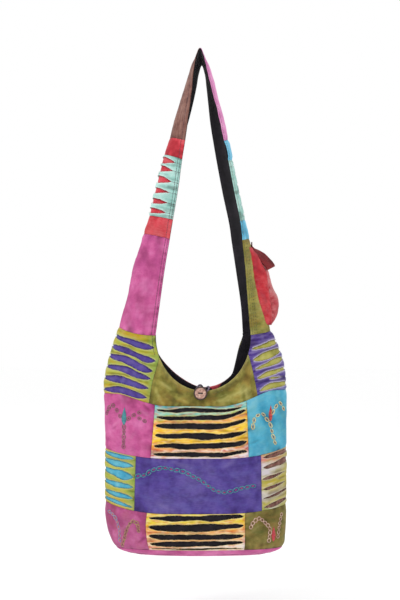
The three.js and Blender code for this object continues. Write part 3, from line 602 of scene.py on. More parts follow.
# %% Tie-dyed cottons
cotton("lime_cotton", (
    (0.0, "#B9931A"), (0.16, "#AE9B1C"), (0.36, "#A6A93B"), (0.55, "#9EA435"), (0.76, "#AAA930"),
    (0.9, "#A69B18"), (1.0, "#B18E1A"),
), follow=1, swirl=0.35, blotches=(("#749135", 26, 9, 0.55), ("#B78E1A", 30, 8, 0.5)),
    margin=("#759C51", 0.88, 1.0, 0.55), fray="#CBCA90")
cotton("peach_tie_dye", (
    (0.0, "#E4D2DC"), (0.06, "#C4403A"), (0.1, "#E8D0C4"), (0.16, "#DA6C2E"), (0.26, "#EBBA22"),
    (0.42, "#F1C82A"), (0.56, "#ECB822"), (0.66, "#DE8A48"), (0.7, "#DFC23E"), (0.74, "#82BA54"),
    (0.79, "#7CC2B0"), (0.9, "#60BCC0"), (1.0, "#58B6BC"),
), follow=1, lean=0.1, swirl=0.3, blotches=(("#C64E28", 17, 6, 0.6), ("#F6E8C8", 14, 4, 0.3)),
    fray="#F2DC96", rim=0.5)
cotton("yellow_tie_dye", (
    (0.0, "#E6D8D0"), (0.07, "#C64A40"), (0.13, "#E4CCBC"), (0.22, "#DA8240"), (0.34, "#E8CC96"),
    (0.46, "#DE8A3C"), (0.58, "#E6B42C"), (0.75, "#DCC63C"), (0.9, "#E0C84C"), (1.0, "#D4BE3C"),
), follow=1, lean=0.14, swirl=0.3, blotches=(("#CE5626", 18, 7, 0.62), ("#F6EAD0", 14, 4, 0.32)),
    fray="#F0DE98", rim=0.5)
cotton("pale_tie_dye", (
    (0.0, "#8E9951"), (0.12, "#AEA244"), (0.24, "#C1B8BC"), (0.4, "#B8A737"), (0.55, "#B2A244"),
    (0.66, "#C7BEC3"), (0.8, "#CBC2C8"), (0.88, "#CC7A66"), (1.0, "#C2442F"),
), follow=1, swirl=0.25, blotches=(("#9B9B42", 26, 9, 0.6), ("#D4CCCE", 24, 10, 0.5)),
    margin=("#A2973B", 0.1, 0.32, 0.85), fray="#D4CBB1", rim=0.5)
cotton("frayed_purple_cotton", (
    (0.0, "#36458A"), (0.12, "#42327E"), (0.5, "#472F84"), (1.0, "#3F2A76"),
), follow=1, swirl=0.25, blotches=(("#6A569E", 20, 7, 0.4), ("#B9ACD2", 24, 4, 0.15)),
    margin=("#4C8FA6", 0.4, 0.6, 0.45), fray="#E3DAEC", wash=0.1, rim=0.75)
print("dyed cottons:", len(FINISH))

# %% [markdown]
# ## Cloth from arrays
# A piece of cloth is a grid of points, worked out at once with numpy. It carries a UV map in metres and
# a few named values for its material. Solidify gives it the thickness of the cloth, inwards. Soft random
# clouds of several sizes stand for folds, puckers and crumpling, and a seed keeps them the same each run.

# %% Soft random folds
def cloud(points, size, seed):
    """Smooth random values from -1 to 1 that change over about that many millimetres."""
    cell, part = np.divmod(np.asarray(points, float) / size, 1)
    part = smooth(part)
    total = np.zeros(points.shape[:-1])
    for corner in np.ndindex(*[2] * points.shape[-1]):
        at = (cell + corner).astype(np.int64)
        mixed = np.full(total.shape, 374761393 * (seed + 1), np.int64)
        for axis, prime in enumerate((668265263, 2246822519, 3266489917)[:points.shape[-1]]):
            mixed = (mixed ^ (at[..., axis] * prime)) & 0xFFFFFFFF
            mixed = ((mixed ^ (mixed >> 15)) * 2246822519) & 0xFFFFFFFF
        mixed = (mixed ^ (mixed >> 13)) & 0xFFFF
        weight = np.prod(np.where(corner, part, 1 - part), axis=-1)
        total += weight * (mixed / 32767.5 - 1)
    return total


def distances(points):
    """How far along a line each of its points is."""
    return np.concatenate([[0], np.cumsum(np.linalg.norm(np.diff(points, axis=0), axis=1))])


def even(points, step):
    """Shares of a line about a step apart along it, and how far along they are."""
    length = distances(points)
    count = max(3, round(length[-1] / step) + 1)
    along = np.linspace(0, length[-1], count)
    return np.interp(along, length, np.linspace(0, 1, len(points))), along


FINE = np.linspace(0, 1, 301)


def measure(place, step):
    """Even shares across and up a piece, with their distances in millimetres."""
    across = even(place(FINE, np.full_like(FINE, 0.5))[0], step)
    share = even(place(np.full_like(FINE, 0.5), FINE)[0], step)
    return *across, *share


def lattice(across, u, share, v):
    """What measure gives, spread over a grid: both shares, then both distances."""
    return *np.meshgrid(across, share, indexing="ij"), *np.meshgrid(u, v, indexing="ij")


print("front yoke, width and height in millimetres:", [
    round(float(along[-1])) for along in measure(PLACE["yoke_front"], 5)[1::2]
])

# %% Objects from grids
# Pieces whose cloth has faded less or more than the others of their colour; the lowest row's pink and olive
# are darker with painted shade
DYED = {
    "fourth_left": "shaded_pink_cotton",
    "fourth_right": "shaded_olive_cotton",
    "yoke_back": "bright_red_cotton",
    "shoulder_right": "frayed_purple_cotton",
    "shoulder_right_under": "pale_olive_cotton",
    "strap_right_pink": "pale_pink_cotton",
    "strap_right_sky": "sky_cotton",
    "strap_right_cyan": "sky_cotton",
    "pouch_face": "faded_crimson_cotton",
}
WELD = 0.03 * MM


def piece(name, mesh, material, slot, replaced=()):
    """Puts a finished mesh into the scene as a part of the bag."""
    mesh.materials.clear()
    mesh.materials.append(material)
    mesh.shade_smooth()
    thing = bpy.data.objects.new(name, mesh)
    bpy.context.scene.collection.objects.link(thing)
    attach(thing, "root")
    if replaced:
        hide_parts(*replaced)
    return thing


def grid_mesh(name, grids, weld=False):
    """A mesh from grids; each has points in millimetres, a UV in millimetres, and values by name."""
    faces, start = [], 0
    for grid in grids:
        columns, rows = grid["points"].shape[:2]
        index = np.arange(columns * rows).reshape(columns, rows) + start
        quads = [index[:-1, :-1], index[1:, :-1], index[1:, 1:], index[:-1, 1:]]
        faces.append(np.stack(quads, -1).reshape(-1, 4))
        start += columns * rows
    points = np.concatenate([grid["points"].reshape(-1, 3) for grid in grids]) * MM
    uv = np.concatenate([grid["uv"].reshape(-1, 2) for grid in grids]) * MM
    mesh = bpy.data.meshes.new(name)
    mesh.from_pydata(points.tolist(), [], np.concatenate(faces).tolist())
    corner = np.empty(len(mesh.loops), np.int32)
    mesh.loops.foreach_get("vertex_index", corner)
    mesh.uv_layers.new(name="UVMap").data.foreach_set("uv", uv[corner].astype(np.float32).ravel())
    for key in grids[0]["values"]:
        value = np.concatenate([grid["values"][key].ravel() for grid in grids]).astype(np.float32)
        mesh.attributes.new(key, "FLOAT", "POINT").data.foreach_set("value", value)
    if weld:
        shell = bmesh.new()
        shell.from_mesh(mesh)
        bmesh.ops.remove_doubles(shell, verts=shell.verts, dist=WELD)
        shell.to_mesh(mesh)
        shell.free()
    return mesh


def cloth(name, mesh, thick, slot=None, replaced=None):
    """A piece of cloth with its thickness, in place of the solid of that name unless others are given."""
    slot = slot or SLOT[name]
    replaced = [name] if replaced is None else replaced
    thing = piece(name + "_cloth", mesh, FINISH[DYED.get(name, slot)], slot, replaced)
    wall = thing.modifiers.new("cloth thickness", "SOLIDIFY")
    wall.thickness = thick * MM
    wall.offset = -1
    return thing


def cloth_grid(place, across, share, u, v, lift, **values):
    """A grid of cloth that stands off its place by a lift in millimetres."""
    point, out = place(across, share)
    values = {"across": across, "share": share, **values}
    return dict(points=point + out * lift[..., None], uv=np.stack([u, v], -1), values=values)


print("cloth tools are ready")

# %% [markdown]
# ## Plain patches
# A sewn patch is drawn in along its seams and stands a little proud inside. Puckers run a short way in
# from each seam, and soft folds cross the middle. A value goes up on ridges, where the washing has taken
# colour off and a painted highlight lies as well, and down in the creases, where it paints shade.

# %% Plain patches of the body
CLOTH = 0.8
PUCKER_SIZE, PUCKER_REACH = 6, 9
SEAM_REACH, SEAM_DRAW = 4.5, 1.2
STANDOFF, LEAST_STANDOFF = 1.9, 0.35


def relief(u, v, seed, hems=()):
    """How far sewn cloth stands off its frame, and a value for its colour: up on ridges for fading with a
    painted highlight, down in creases for painted shade; hems are edges that aren't drawn in.
    """
    wide, tall = u.max(), v.max()
    apart = {"left": u, "right": wide - u, "low": v, "high": tall - v}
    flat = np.stack([u, v], -1)
    near = np.minimum.reduce([apart[side] for side in apart if side not in hems])
    drawn = np.exp(-((near / SEAM_REACH) ** 2))
    from_rows = np.minimum(apart["low"], apart["high"])
    from_sides = np.minimum(apart["left"], apart["right"])
    upright = cloud(flat * (1, 0.22), PUCKER_SIZE, seed) * np.exp(-from_rows / PUCKER_REACH)
    level = cloud(flat * (0.22, 1), PUCKER_SIZE, seed + 1) * np.exp(-from_sides / PUCKER_REACH)
    slanted = np.stack([u + 0.6 * v, v - 0.6 * u], -1)
    folds = 1.1 * cloud(flat, 60, seed + 2) + 0.9 * cloud(slanted * (1, 0.4), 20, seed + 3)
    folds = folds + 0.3 * cloud(flat, 7, seed + 4)
    lift = STANDOFF - SEAM_DRAW * drawn + 0.6 * (upright + level) + (1 - drawn) * folds
    # Painted shade in creases where this is below zero; on ridges fading and painted highlight
    worn = np.clip(0.6 * (upright + level) + 0.45 * folds, -1, 1)
    return np.maximum(lift, LEAST_STANDOFF), worn


# Folds that show in the photograph: their two ends as seen from the front, height and width in millimetres
FOLDS = {
    "yoke_front": (
        ((-85, -643), (-43, -671), 1.6, 3.5), ((-68, -671), (-43, -688), -1.5, 3.5),
        ((-91, -656), (-70, -697), 1.4, 3), ((-62, -662), (-30, -672), -1.2, 3),
        ((27, -671), (100, -633), -1.8, 5), ((41, -682), (107, -656), 1.5, 4),
        ((21, -685), (78, -682), 1.0, 3), ((-52, -676), (-20, -690), 1.2, 3),
        ((84, -622), (100, -604), -1.4, 3),
    ),
    "second_left": (
        ((-176, -737), (-158, -725), 1.3, 2.5), ((-178, -742), (-160, -731), -0.5, 2.5),
        ((-120, -700), (-98, -716), 1.3, 3), ((-112, -690), (-96, -706), -1.2, 3),
        ((-140, -760), (-120, -740), 1.0, 4),
    ),
    "second_right": (((75, -705), (112, -692), 1.2, 4), ((80, -775), (120, -760), -1.2, 4)),
    "third_front": (
        ((-60, -800), (-20, -815), 1.4, 4), ((40, -815), (70, -800), 1.3, 4),
        ((-90, -880), (-50, -900), 1.2, 4),
    ),
    "fourth_left": (((-170, -955), (-140, -925), 1.4, 4), ((-130, -970), (-105, -950), -1.2, 4)),
    "fourth_right": (((95, -945), (120, -925), 1.2, 4), ((110, -972), (150, -960), -1.2, 4)),
}


def drawn_folds(point, folds):
    x, z = point[..., 0], point[..., 2]
    total = np.zeros_like(x)
    for (x0, z0), (x1, z1), height, width in folds:
        way_x, way_z = x1 - x0, z1 - z0
        long = math.hypot(way_x, way_z)
        along = ((x - x0) * way_x + (z - z0) * way_z) / long**2
        apart = ((x - x0) * way_z - (z - z0) * way_x) / long
        total += height * np.exp(-((apart / width) ** 2)) * np.sin(np.pi * np.clip(along, 0, 1)) ** 0.7
    return total


def plain_piece(name, step, seed, hems=(), slot=None, replaced=None, lower=0):
    place = PLACE[name]
    across, share, u, v = lattice(*measure(place, step))
    lift, worn = relief(u, v, seed, hems)
    folds = drawn_folds(place(across, share)[0], FOLDS.get(name, ()))
    lift = np.maximum(lift + folds, LEAST_STANDOFF) - lower
    hem = 0.55 * np.exp(-(v.max() - v) / 2.5) if name == "yoke_front" else np.zeros_like(v)
    # The folds seen from the front add painted shade in their valleys and paler ridges, partly painted
    # highlight
    grid = cloth_grid(place, across, share, u, v, lift, worn=worn + 0.7 * folds, edge=hem)
    return cloth(name, grid_mesh(name, [grid]), CLOTH, slot, replaced)


FRONT_STEP, BACK_STEP = 2.2, 4.0
CLOTHS = {}
for seed, name in enumerate(PLAIN):
    step = BACK_STEP if name.endswith("_back") else FRONT_STEP
    hems = ("high",) if name.startswith("yoke") else ()
    CLOTHS[name] = plain_piece(name, step, 10 * seed, hems)
print("faces of the front yoke:", len(CLOTHS["yoke_front"].data.polygons))

# %% [markdown]
# ## Slashed patches
# The top cloth is cut with a razor from side to side, so each patch is a ladder of strips joined at both
# ends. Every strip is a grid between two wavy cut edges, and the strips are welded where a slit is shut.
# A strip arches as its edges roll in, and the cut edge is pale with loose thread.

# %% Slashed patches of the body
# For each patch its seam lines and edges as above, and the shares of its width where slits start and end.
# skew moves a slit's widest place to the right, or to the left where it is negative, and bend is where its
# line turns. A lower value of sharp makes blunter tips. sway is how far a slit wanders and arch how far a
# strip bows out, in millimetres, and puff scales how far the whole patch stands off. Each slit has the
# shares of the height where its line starts and ends, its gap in millimetres and, where it is a short one,
# its own start and end.
CUT = {
    "shoulder_left": dict(
        rows=("yoke", "joint", (-150, -153), (-27.1, -21.6)), tips=(0.16, 0.985), skew=3.5,
        bend=(0.75, 1.0), sharp=0.6, sway=0.7, arch=1.0, puff=0.7,
        slits=((0.064, 0.07, 15), (0.24, 0.217, 17.5), (0.412, 0.36, 15.5),
               (0.568, 0.478, 16.5), (0.714, 0.625, 15), (0.862, 0.818, 15)),
    ),
    "shoulder_right": dict(
        rows=("yoke", "joint", (40.2, 34.8), (150, 153)), tips=(0.02, 0.82), skew=-3,
        bend=(0.0, 0.4), sharp=0.6, sway=1.0, arch=1.6, puff=0.65,
        slits=((0.066, 0.105, 12), (0.21, 0.22, 5, 0.12, 0.36), (0.285, 0.36, 13),
               (0.44, 0.54, 11.5), (0.594, 0.667, 14), (0.77, 0.825, 12)),
    ),
    "second_front": dict(
        rows=("second", "yoke", (-26.5, -23), (32.3, 30.9)), tips=(0.03, 0.975), skew=1,
        bend=(0.6, 1.0), sharp=0.35, sway=1.7, arch=0.8,
        slits=((0.083, 0.1, 10), (0.24, 0.285, 12.5), (0.437, 0.46, 12),
               (0.623, 0.665, 12), (0.775, 0.832, 10), (0.926, 0.91, 8.5, 0.03, 0.92)),
    ),
    "third_left": dict(
        rows=("third", "second", (-140, -140), (-39.6, -38.2)), tips=(0.16, 0.985), skew=3.2,
        bend=(0.75, 1.0), sharp=0.6, sway=0.8, arch=1.0, puff=0.7,
        slits=((0.08, 0.06, 8), (0.225, 0.221, 11), (0.4, 0.43, 13),
               (0.618, 0.613, 17), (0.8, 0.817, 12), (0.945, 0.955, 10)),
    ),
    "third_right": dict(
        rows=("third", "second", (44, 43), (140, 140)), tips=(0.02, 0.82), skew=-2.6,
        bend=(0.0, 0.35), sharp=0.65, sway=0.8, arch=1.4, puff=0.65,
        slits=((0.055, 0.107, 9.5), (0.21, 0.275, 5.5), (0.378, 0.41, 7.5, 0.02, 0.4),
               (0.558, 0.59, 7.5, 0.01, 0.42), (0.765, 0.79, 12.5), (0.945, 0.95, 11)),
    ),
    "fourth_front": dict(
        rows=("base", "third", (-33.6, -29), (29.4, 29.6)), tips=(0.04, 0.975), skew=1,
        bend=(0.5, 1.0), sharp=0.35, sway=1.5, arch=0.8,
        slits=((0.045, 0.05, 4.5), (0.19, 0.23, 10.5), (0.385, 0.41, 12.5),
               (0.63, 0.67, 14), (0.885, 0.925, 11.5)),
    ),
}
for name, cut in CUT.items():
    PLACE[name] = patch_place(*cut["rows"])
SLASHED, UNDER = 0.7, 0.6
THINNEST = 2.6
LOWEST_CUT, HIGHEST_CUT = 0.012, 0.988
cut_edges = []


def slit_edges(cut, across, u, tall, seed):
    """The shares of the height of each slit's lower and upper edge."""
    edges = []
    for k, (first, last, gap, *ends) in enumerate(cut["slits"]):
        start, end = ends or cut["tips"]
        q = np.clip((across - start) / (end - start), 0, 1)
        skewed = q ** cut["skew"] if cut["skew"] > 0 else 1 - (1 - q) ** -cut["skew"]
        profile = (4 * skewed * (1 - skewed)) ** cut["sharp"]
        line = np.stack([u, np.full_like(u, 40.0 * k)], -1)
        loose = smooth(3 * profile)
        sway = cut["sway"] * cloud(line, 34, seed + k) * loose
        flare = 1 + 0.26 * cloud(line, 26, seed + 20 + k)
        ragged = [0.5 * cloud(line, 5, seed + way + k) * loose for way in (40, 60)]
        turned = smooth((across - cut["bend"][0]) / (cut["bend"][1] - cut["bend"][0]))
        middle = mix(first, last, turned) + sway / tall
        half = gap * flare * profile / 2
        low = np.clip(middle - (half - ragged[0]) / tall, LOWEST_CUT, HIGHEST_CUT)
        high = np.clip(middle + (half + ragged[1]) / tall, LOWEST_CUT, HIGHEST_CUT)
        edges.append([np.minimum(low, high), np.where(profile > 0, np.maximum(low, high), low)])
    for below, above in zip(edges, edges[1:]):
        short = np.maximum(0, THINNEST / tall - (above[0] - below[1])) / 2
        below[1] = np.maximum(below[0], below[1] - short)
        above[0] = np.minimum(above[1], above[0] + short)
    return edges


print("slits:", sum(len(cut["slits"]) for cut in CUT.values()))

# %% [markdown]
# The strips of the top cloth stand off the cloth beneath, and their heights are kept apart so that neither
# comes through the other. Close to the lips of the slits a shadow is painted on the cloth beneath, a dark
# line that sets the strips off.

# %% Strips and the cloth beneath
STRIP_ROW = 1.7
STRIP_RISE, STRIP_TUCK, STRIP_SEAM = 3.2, 2.1, 3.5
RIM_WIDE = 1.3
OPEN_GAP = 1
UNDER_RISE, UNDER_TUCK, UNDER_SEAM = 1.1, 0.8, 4
# How far the painted shadow reaches under the upper lip and over the lower lip, in millimetres
UPPER_SHADE, LOWER_SHADE = 2.3, 1.2


def slashed_piece(name, cut, step, seed):
    place = PLACE[name]
    columns, u, _, v = measure(place, step)
    tall = v[-1]
    edges = slit_edges(cut, columns, u, tall, seed)
    shut = np.zeros_like(columns)
    lows = [shut, *[edge[1] for edge in edges]]
    highs = [*[edge[0] for edge in edges], shut + 1]
    gaps = [shut, *[(edge[1] - edge[0]) * tall for edge in edges], shut]
    grids = []
    for k, (low, high) in enumerate(zip(lows, highs)):
        rows = max(5, round(float(np.mean(high - low)) * tall / STRIP_ROW) + 1)
        c = np.linspace(0, 1, rows)[None, :]
        share = mix(low[:, None], high[:, None], c)
        across = np.broadcast_to(columns[:, None], share.shape)
        uu, vv = np.broadcast_to(u[:, None], share.shape), share * tall
        strip = (high - low)[:, None] * tall
        below, above = gaps[k][:, None], gaps[k + 1][:, None]
        rim_low = np.exp(-c * strip / RIM_WIDE) * smooth(below / 2)
        rim_high = np.exp(-(1 - c) * strip / RIM_WIDE) * smooth(above / 2)
        rim = np.maximum(rim_low, rim_high)
        flat = np.stack([uu, vv], -1)
        creases = 0.65 * cloud(flat * (0.12, 1), 3.6, seed + 90) + 0.3 * cloud(flat, 8, seed + 91)
        bow = cut["arch"] * np.sin(np.pi * c) * smooth(np.maximum(below, above) / 6)
        ruffle = (0.2 + 0.5 * cloud(flat, 9, seed + 92)) * rim
        near = np.minimum(np.minimum(uu, u[-1] - uu), np.minimum(vv, tall - vv))
        drawn = np.exp(-((near / STRIP_SEAM) ** 2))
        lift = STRIP_RISE + (1 - drawn) * (creases + bow + ruffle) - STRIP_TUCK * drawn
        lift = lift * cut.get("puff", 1)
        # Painted shade in the valleys of a strip's creases; on its ridges fading and painted highlight
        worn = np.clip(1.3 * creases, -1, 1)
        grid = cloth_grid(place, across, share, uu, vv, lift, edge=rim, worn=worn)
        grids.append(grid)
        for row, inner, gap in ((0, 1, gaps[k]), (-1, -2, gaps[k + 1])):
            open_places = np.flatnonzero(gap > OPEN_GAP)
            if len(open_places) > 2:
                line = grid["points"][open_places, row]
                cut_edges.append((name, line, unit(line - grid["points"][open_places, inner])))
    return cloth(name, grid_mesh(name, grids, weld=True), SLASHED)


def painted_lip_shadow(cut, columns, along, share, tall, seed):
    """The painted shadow on each place of the cloth beneath: strong under the upper lip of a slit, weaker
    over its lower lip.
    """
    lip_shadow = np.zeros_like(share)
    for low, high in slit_edges(cut, columns, along, tall, seed):
        low, high = low[:, None], high[:, None]
        below_lip = np.maximum(0, high - share) * tall
        above_lip = np.maximum(0, share - low) * tall
        inside = (share > low - 1 / tall) & (share < high + 1 / tall)
        shade = np.maximum(np.exp(-((below_lip / UPPER_SHADE) ** 2)), 0.6 * np.exp(-above_lip / LOWER_SHADE))
        lip_shadow = np.maximum(lip_shadow, inside * shade)
    return lip_shadow


def under_piece(name, cut, step, seed):
    """The cloth that shows through the slits of a slashed patch."""
    place = PLACE[name]
    columns, along, rows, heights = measure(place, step)
    across, share, u, v = lattice(columns, along, rows, heights)
    flat = np.stack([u, v], -1)
    tall = v.max()
    near = np.minimum(np.minimum(u, u.max() - u), np.minimum(v, tall - v))
    lift = UNDER_RISE + 0.25 * cloud(flat, 14, seed + 80) + 0.15 * cloud(flat * (1, 0.3), 5, seed + 81)
    lift = (lift - UNDER_TUCK * np.exp(-((near / UNDER_SEAM) ** 2))) * cut.get("puff", 1)
    lip_shadow = painted_lip_shadow(cut, columns, along, share, tall, seed)
    # Painted shadow: below zero near the lips, which the material darkens as shade
    worn = np.clip(cloud(flat, 9, seed + 82), 0, 1) * (1 - lip_shadow) - 1.4 * lip_shadow
    node = name + "_under"
    grid = cloth_grid(place, across, share, u, v, lift, worn=worn)
    return cloth(node, grid_mesh(node, [grid]), UNDER)


UNDER_STEP = 1.6
CUT_SEED = 500
for seed, (name, cut) in enumerate(CUT.items()):
    CLOTHS[name] = slashed_piece(name, cut, FRONT_STEP, CUT_SEED + 100 * seed)
    under_piece(name, cut, UNDER_STEP, CUT_SEED + 100 * seed)
print("cut edges:", len(cut_edges))

# %% [markdown]
# ## Strap bands
# The strap is pieced from bands in the same way. Its two long edges are hems, turned in and topstitched,
# so they aren't drawn in but padded up to the stitch line.

# %% Bands of the strap
MINT_SLITS = {
    "left": (0.095, 0.26, 0.425, 0.6, 0.766, 0.9),
    "right": (0.1, 0.26, 0.42, 0.58, 0.74, 0.9),
}
CUT_BANDS = {
    "strap_left_mint": dict(
        ends=("left_red", "left_mint"), tips=(0.15, 0.9), skew=1, bend=(0, 1),
        sharp=0.75, sway=0.3, arch=0.6,
        slits=[(share, share, 14) for share in MINT_SLITS["left"]],
    ),
    "strap_right_mint": dict(
        ends=("right_sky", "right_mint"), tips=(0.17, 0.83), skew=1, bend=(0, 1),
        sharp=0.7, sway=0.3, arch=0.3, puff=0.55,
        slits=[(share, share, 9.5) for share in MINT_SLITS["right"]],
    ),
}
BAND_STEP = 1.8
BAND_SEED, CUT_BAND_SEED = 1200, 1400
for seed, name in enumerate(BANDS):
    CLOTHS[name] = plain_piece(name, FRONT_STEP, BAND_SEED + 10 * seed, ("left", "right"))
for seed, (name, cut) in enumerate(CUT_BANDS.items()):
    PLACE[name] = band_place(*cut["ends"])
    CLOTHS[name] = slashed_piece(name, cut, BAND_STEP, CUT_BAND_SEED + 100 * seed)
    under_piece(name, cut, UNDER_STEP, CUT_BAND_SEED + 100 * seed)
print("strap pieces:", len(BANDS) + 2 * len(CUT_BANDS))

# %% [markdown]
# ## Linings and base
# A black lining fills the body and the strap. Near an edge it comes out to meet the patches, as a lining
# does at its topstitched edge. The base is a shallow pink tray under everything.

# %% Linings and base
def lined(from_edge, deep, reach=5):
    """A lining's lift: deep inside, and out at the edge where it is sewn to the cloth."""
    return mix(0.25, -deep, smooth(from_edge / reach))


corner_turns = [turn + nudge for turn in CORNER.values() for nudge in (-0.03, 0.03)]
ROUND = np.sort(np.concatenate([np.linspace(-180, 180, 361), corner_turns]))
TURN_LONG = 2.3


def body_tube(name, rows, lift, floor_z, thick):
    """A tube round the body with a floor, from rows of heights at each turn, the top row first."""
    turn = np.broadcast_to(ROUND[:, None], rows.shape)
    flat = np.stack([turn * TURN_LONG, rows], -1)
    wave = 0.5 * cloud(flat, 30, 77) + 0.2 * cloud(flat, 9, 78)
    wave[-1] = wave[0]
    wall = body_point(turn, rows) + body_out(turn, rows) * (lift + wave)[..., None]
    middle = np.array([BODY[0, 1], 0, floor_z])
    floor_rings = [middle + (wall[:, -1:] - middle) * (s, s, 0) for s in np.linspace(0.96, 0, 10)]
    points = np.concatenate([wall, *floor_rings], 1)[:, ::-1]
    u = np.broadcast_to(ROUND[:, None] * TURN_LONG, points.shape[:2])
    v = np.broadcast_to(np.arange(points.shape[1]) * 5.0, points.shape[:2])
    values = {"worn": np.clip(cloud(np.stack([u, v], -1), 20, 79), 0, 1) * 0.5}
    mesh = grid_mesh(name, [dict(points=points, uv=np.stack([u, v], -1), values=values)], weld=True)
    return cloth(name, mesh, thick)


# The lining is set low for a short way at the back, where the red yoke shows above it. Where the strap
# leaves the body it laps a little way up inside the strap.
LINING_LOW, LINING_FLOOR, LINING = -984, -987.5, 0.8
STRAP_LAP = 2.4
RED_RIM = dict(x=31, half=10, deep=8)
from_rim = (body_point(ROUND, -650)[:, 0] - RED_RIM["x"]) / RED_RIM["half"]
dip = np.exp(-(from_rim**4)) * (np.abs(ROUND) > 90)
under_strap = top_of(ROUND) > row_height("joint", ROUND) - 0.01
tops = (top_of(ROUND) - 0.4 - RED_RIM["deep"] * dip + STRAP_LAP * under_strap)[:, None]
shares = np.concatenate([np.linspace(0, 0.1, 6), np.linspace(0.13, 1, 50)])[None, :]
lining_rows = mix(tops, LINING_LOW, shares)
below_strap = -1.2 - 0.8 * smooth(20 * shares)
lining_lift = np.where(under_strap[:, None], below_strap, lined(tops - lining_rows, 2.0))
body_tube("lining", lining_rows, lining_lift, LINING_FLOOR, LINING)
base_top = row_height("base", ROUND)[:, None] - SEAM
base_rows = mix(base_top, FLOOR, np.linspace(0, 1, 8)[None, :])
body_tube("base", base_rows, mix(1.5, 0.8, smooth((base_top - base_rows) / 13)), FLOOR - 1.2, 0.9)


def strap_lining():
    place = band_place("left_joint", "right_joint")
    across, u, share, v = measure(place, BACK_STEP)
    across = np.unique(np.concatenate([across, [0.01, 0.025, 0.975, 0.99]]))
    across, share, u, v = lattice(across, across * u[-1], share, v)
    flat = np.stack([u, v], -1)
    edge = np.minimum(u, u.max() - u)
    wave = 0.35 * cloud(flat, 25, 81) * smooth(edge / 6)
    grid = cloth_grid(place, across, share, u, v, lined(edge, 1.0) + wave, worn=np.clip(wave, 0, 1))
    return cloth("strap_lining", grid_mesh("strap_lining", [grid]), LINING)


CLOTHS["strap_lining"] = strap_lining()
print("linings and base are in place")

# %% [markdown]
# ## Pouch
# A small bellows pocket sits on the outside of the right arm. Its front gusset is bright, its outer face
# is faded, and its top stays open under the flap. Each face is a piece of cloth with its own seams, so it
# uses the same tools as the patches. The way out of a bent face is worked out from its slopes.

# %% Places on the pouch
POUCH_FRONT, POUCH_BACK = -3, 36
POUCH_SWELL = (0.02, 0.88)
POUCH_SLANT = 0.09
ARM_DEPTH = 40
POUCH_STANDOFF = 3.1
# The front gusset is sewn on to the arm's front, farther forward at the top than at the floor
GUSSET_SEAM = (-17, -24)
SEAM_STANDOFF = 2.6
GUSSET_BULGE = 2.2
# Heights of the open top beside the arm and at the fold, in front and behind, and how late it drops
POUCH_TOP = {-1: (-380.5, -398.5), 1: (-382, -384)}
LATE_DROP = 2.5
# Height, the fold between gusset and face, and the farthest place of the face, from the floor up
POUCH = np.array([
    (-535, 143, 146), (-524, 144.5, 153), (-511, 143.5, 158), (-495, 141.5, 160), (-480, 139.5, 157),
    (-459, 137, 147), (-428, 132.5, 138.5), (-405, 121.5, 127), (-388, 113.5, 116.5), (-380, 110, 112),
], float)
POUCH_LOW = POUCH[0, 0]


def arm_point(y, z, lift):
    """The point of the right arm's outside at a depth and a height, lifted off it."""
    w, z = np.broadcast_arrays(np.asarray(y, float) / ARM_DEPTH, np.asarray(z, float))
    low = np.full(z.shape, float(STATIONS.index("right_mint")))
    high = np.full(z.shape, float(LAST))
    for _ in range(24):
        middle = (low + high) / 2
        above = strap_point(w, middle)[..., 2] > z
        low, high = np.where(above, middle, low), np.where(above, high, middle)
    return strap_point(w, low) + strap_out(w, low) * lift


def pouch_bow(y, z):
    y, z = np.broadcast_arrays(np.asarray(y, float), np.asarray(z, float))
    share = (y - POUCH_FRONT) / (POUCH_BACK - POUCH_FRONT)
    fold, bulge = np.moveaxis(hermite(POUCH[:, 0], POUCH[:, 1:], z), -1, 0)
    swell = (bulge - fold) * np.sin(np.pi * mix(*POUCH_SWELL, share))
    return np.stack([fold + swell - POUCH_SLANT * (y - POUCH_FRONT), y, z], -1)


def with_out(point_at):
    """A place from a function of points alone."""
    def place(across, share):
        h = 0.01
        over = point_at(np.minimum(1, across + h), share) - point_at(np.maximum(0, across - h), share)
        up = point_at(across, np.minimum(1, share + h)) - point_at(across, np.maximum(0, share - h))
        return point_at(across, share), unit(np.cross(over, up))

    return place


def gusset(y, side):
    """Points of a gusset from the arm to the fold; side is -1 in front and 1 behind."""
    def point_at(across, share):
        from_arm = across if side < 0 else 1 - across
        z = mix(POUCH_LOW, mix(*POUCH_TOP[side], from_arm**LATE_DROP), share)
        if side < 0:
            sewn = arm_point(mix(*GUSSET_SEAM, share), z, SEAM_STANDOFF)
        else:
            sewn = arm_point(y, z, POUCH_STANDOFF)
        point = mix(sewn, pouch_bow(y, z), from_arm[..., None])
        point[..., 1] += side * GUSSET_BULGE * np.sin(np.pi * from_arm) * np.sin(np.pi * share)
        return point

    return with_out(point_at)


def pouch_face(across, share):
    top = mix(POUCH_TOP[-1][1], POUCH_TOP[1][1], across)
    return pouch_bow(mix(POUCH_FRONT, POUCH_BACK, across), mix(POUCH_LOW, top, share))


def pouch_floor(across, share):
    sewn = arm_point(mix(GUSSET_SEAM[0], POUCH_BACK, across), POUCH_LOW, SEAM_STANDOFF)
    return mix(sewn, pouch_bow(mix(POUCH_FRONT, POUCH_BACK, across), POUCH_LOW), share[..., None])


print("pouch, height in millimetres:", POUCH_TOP[-1][0] - POUCH_LOW)

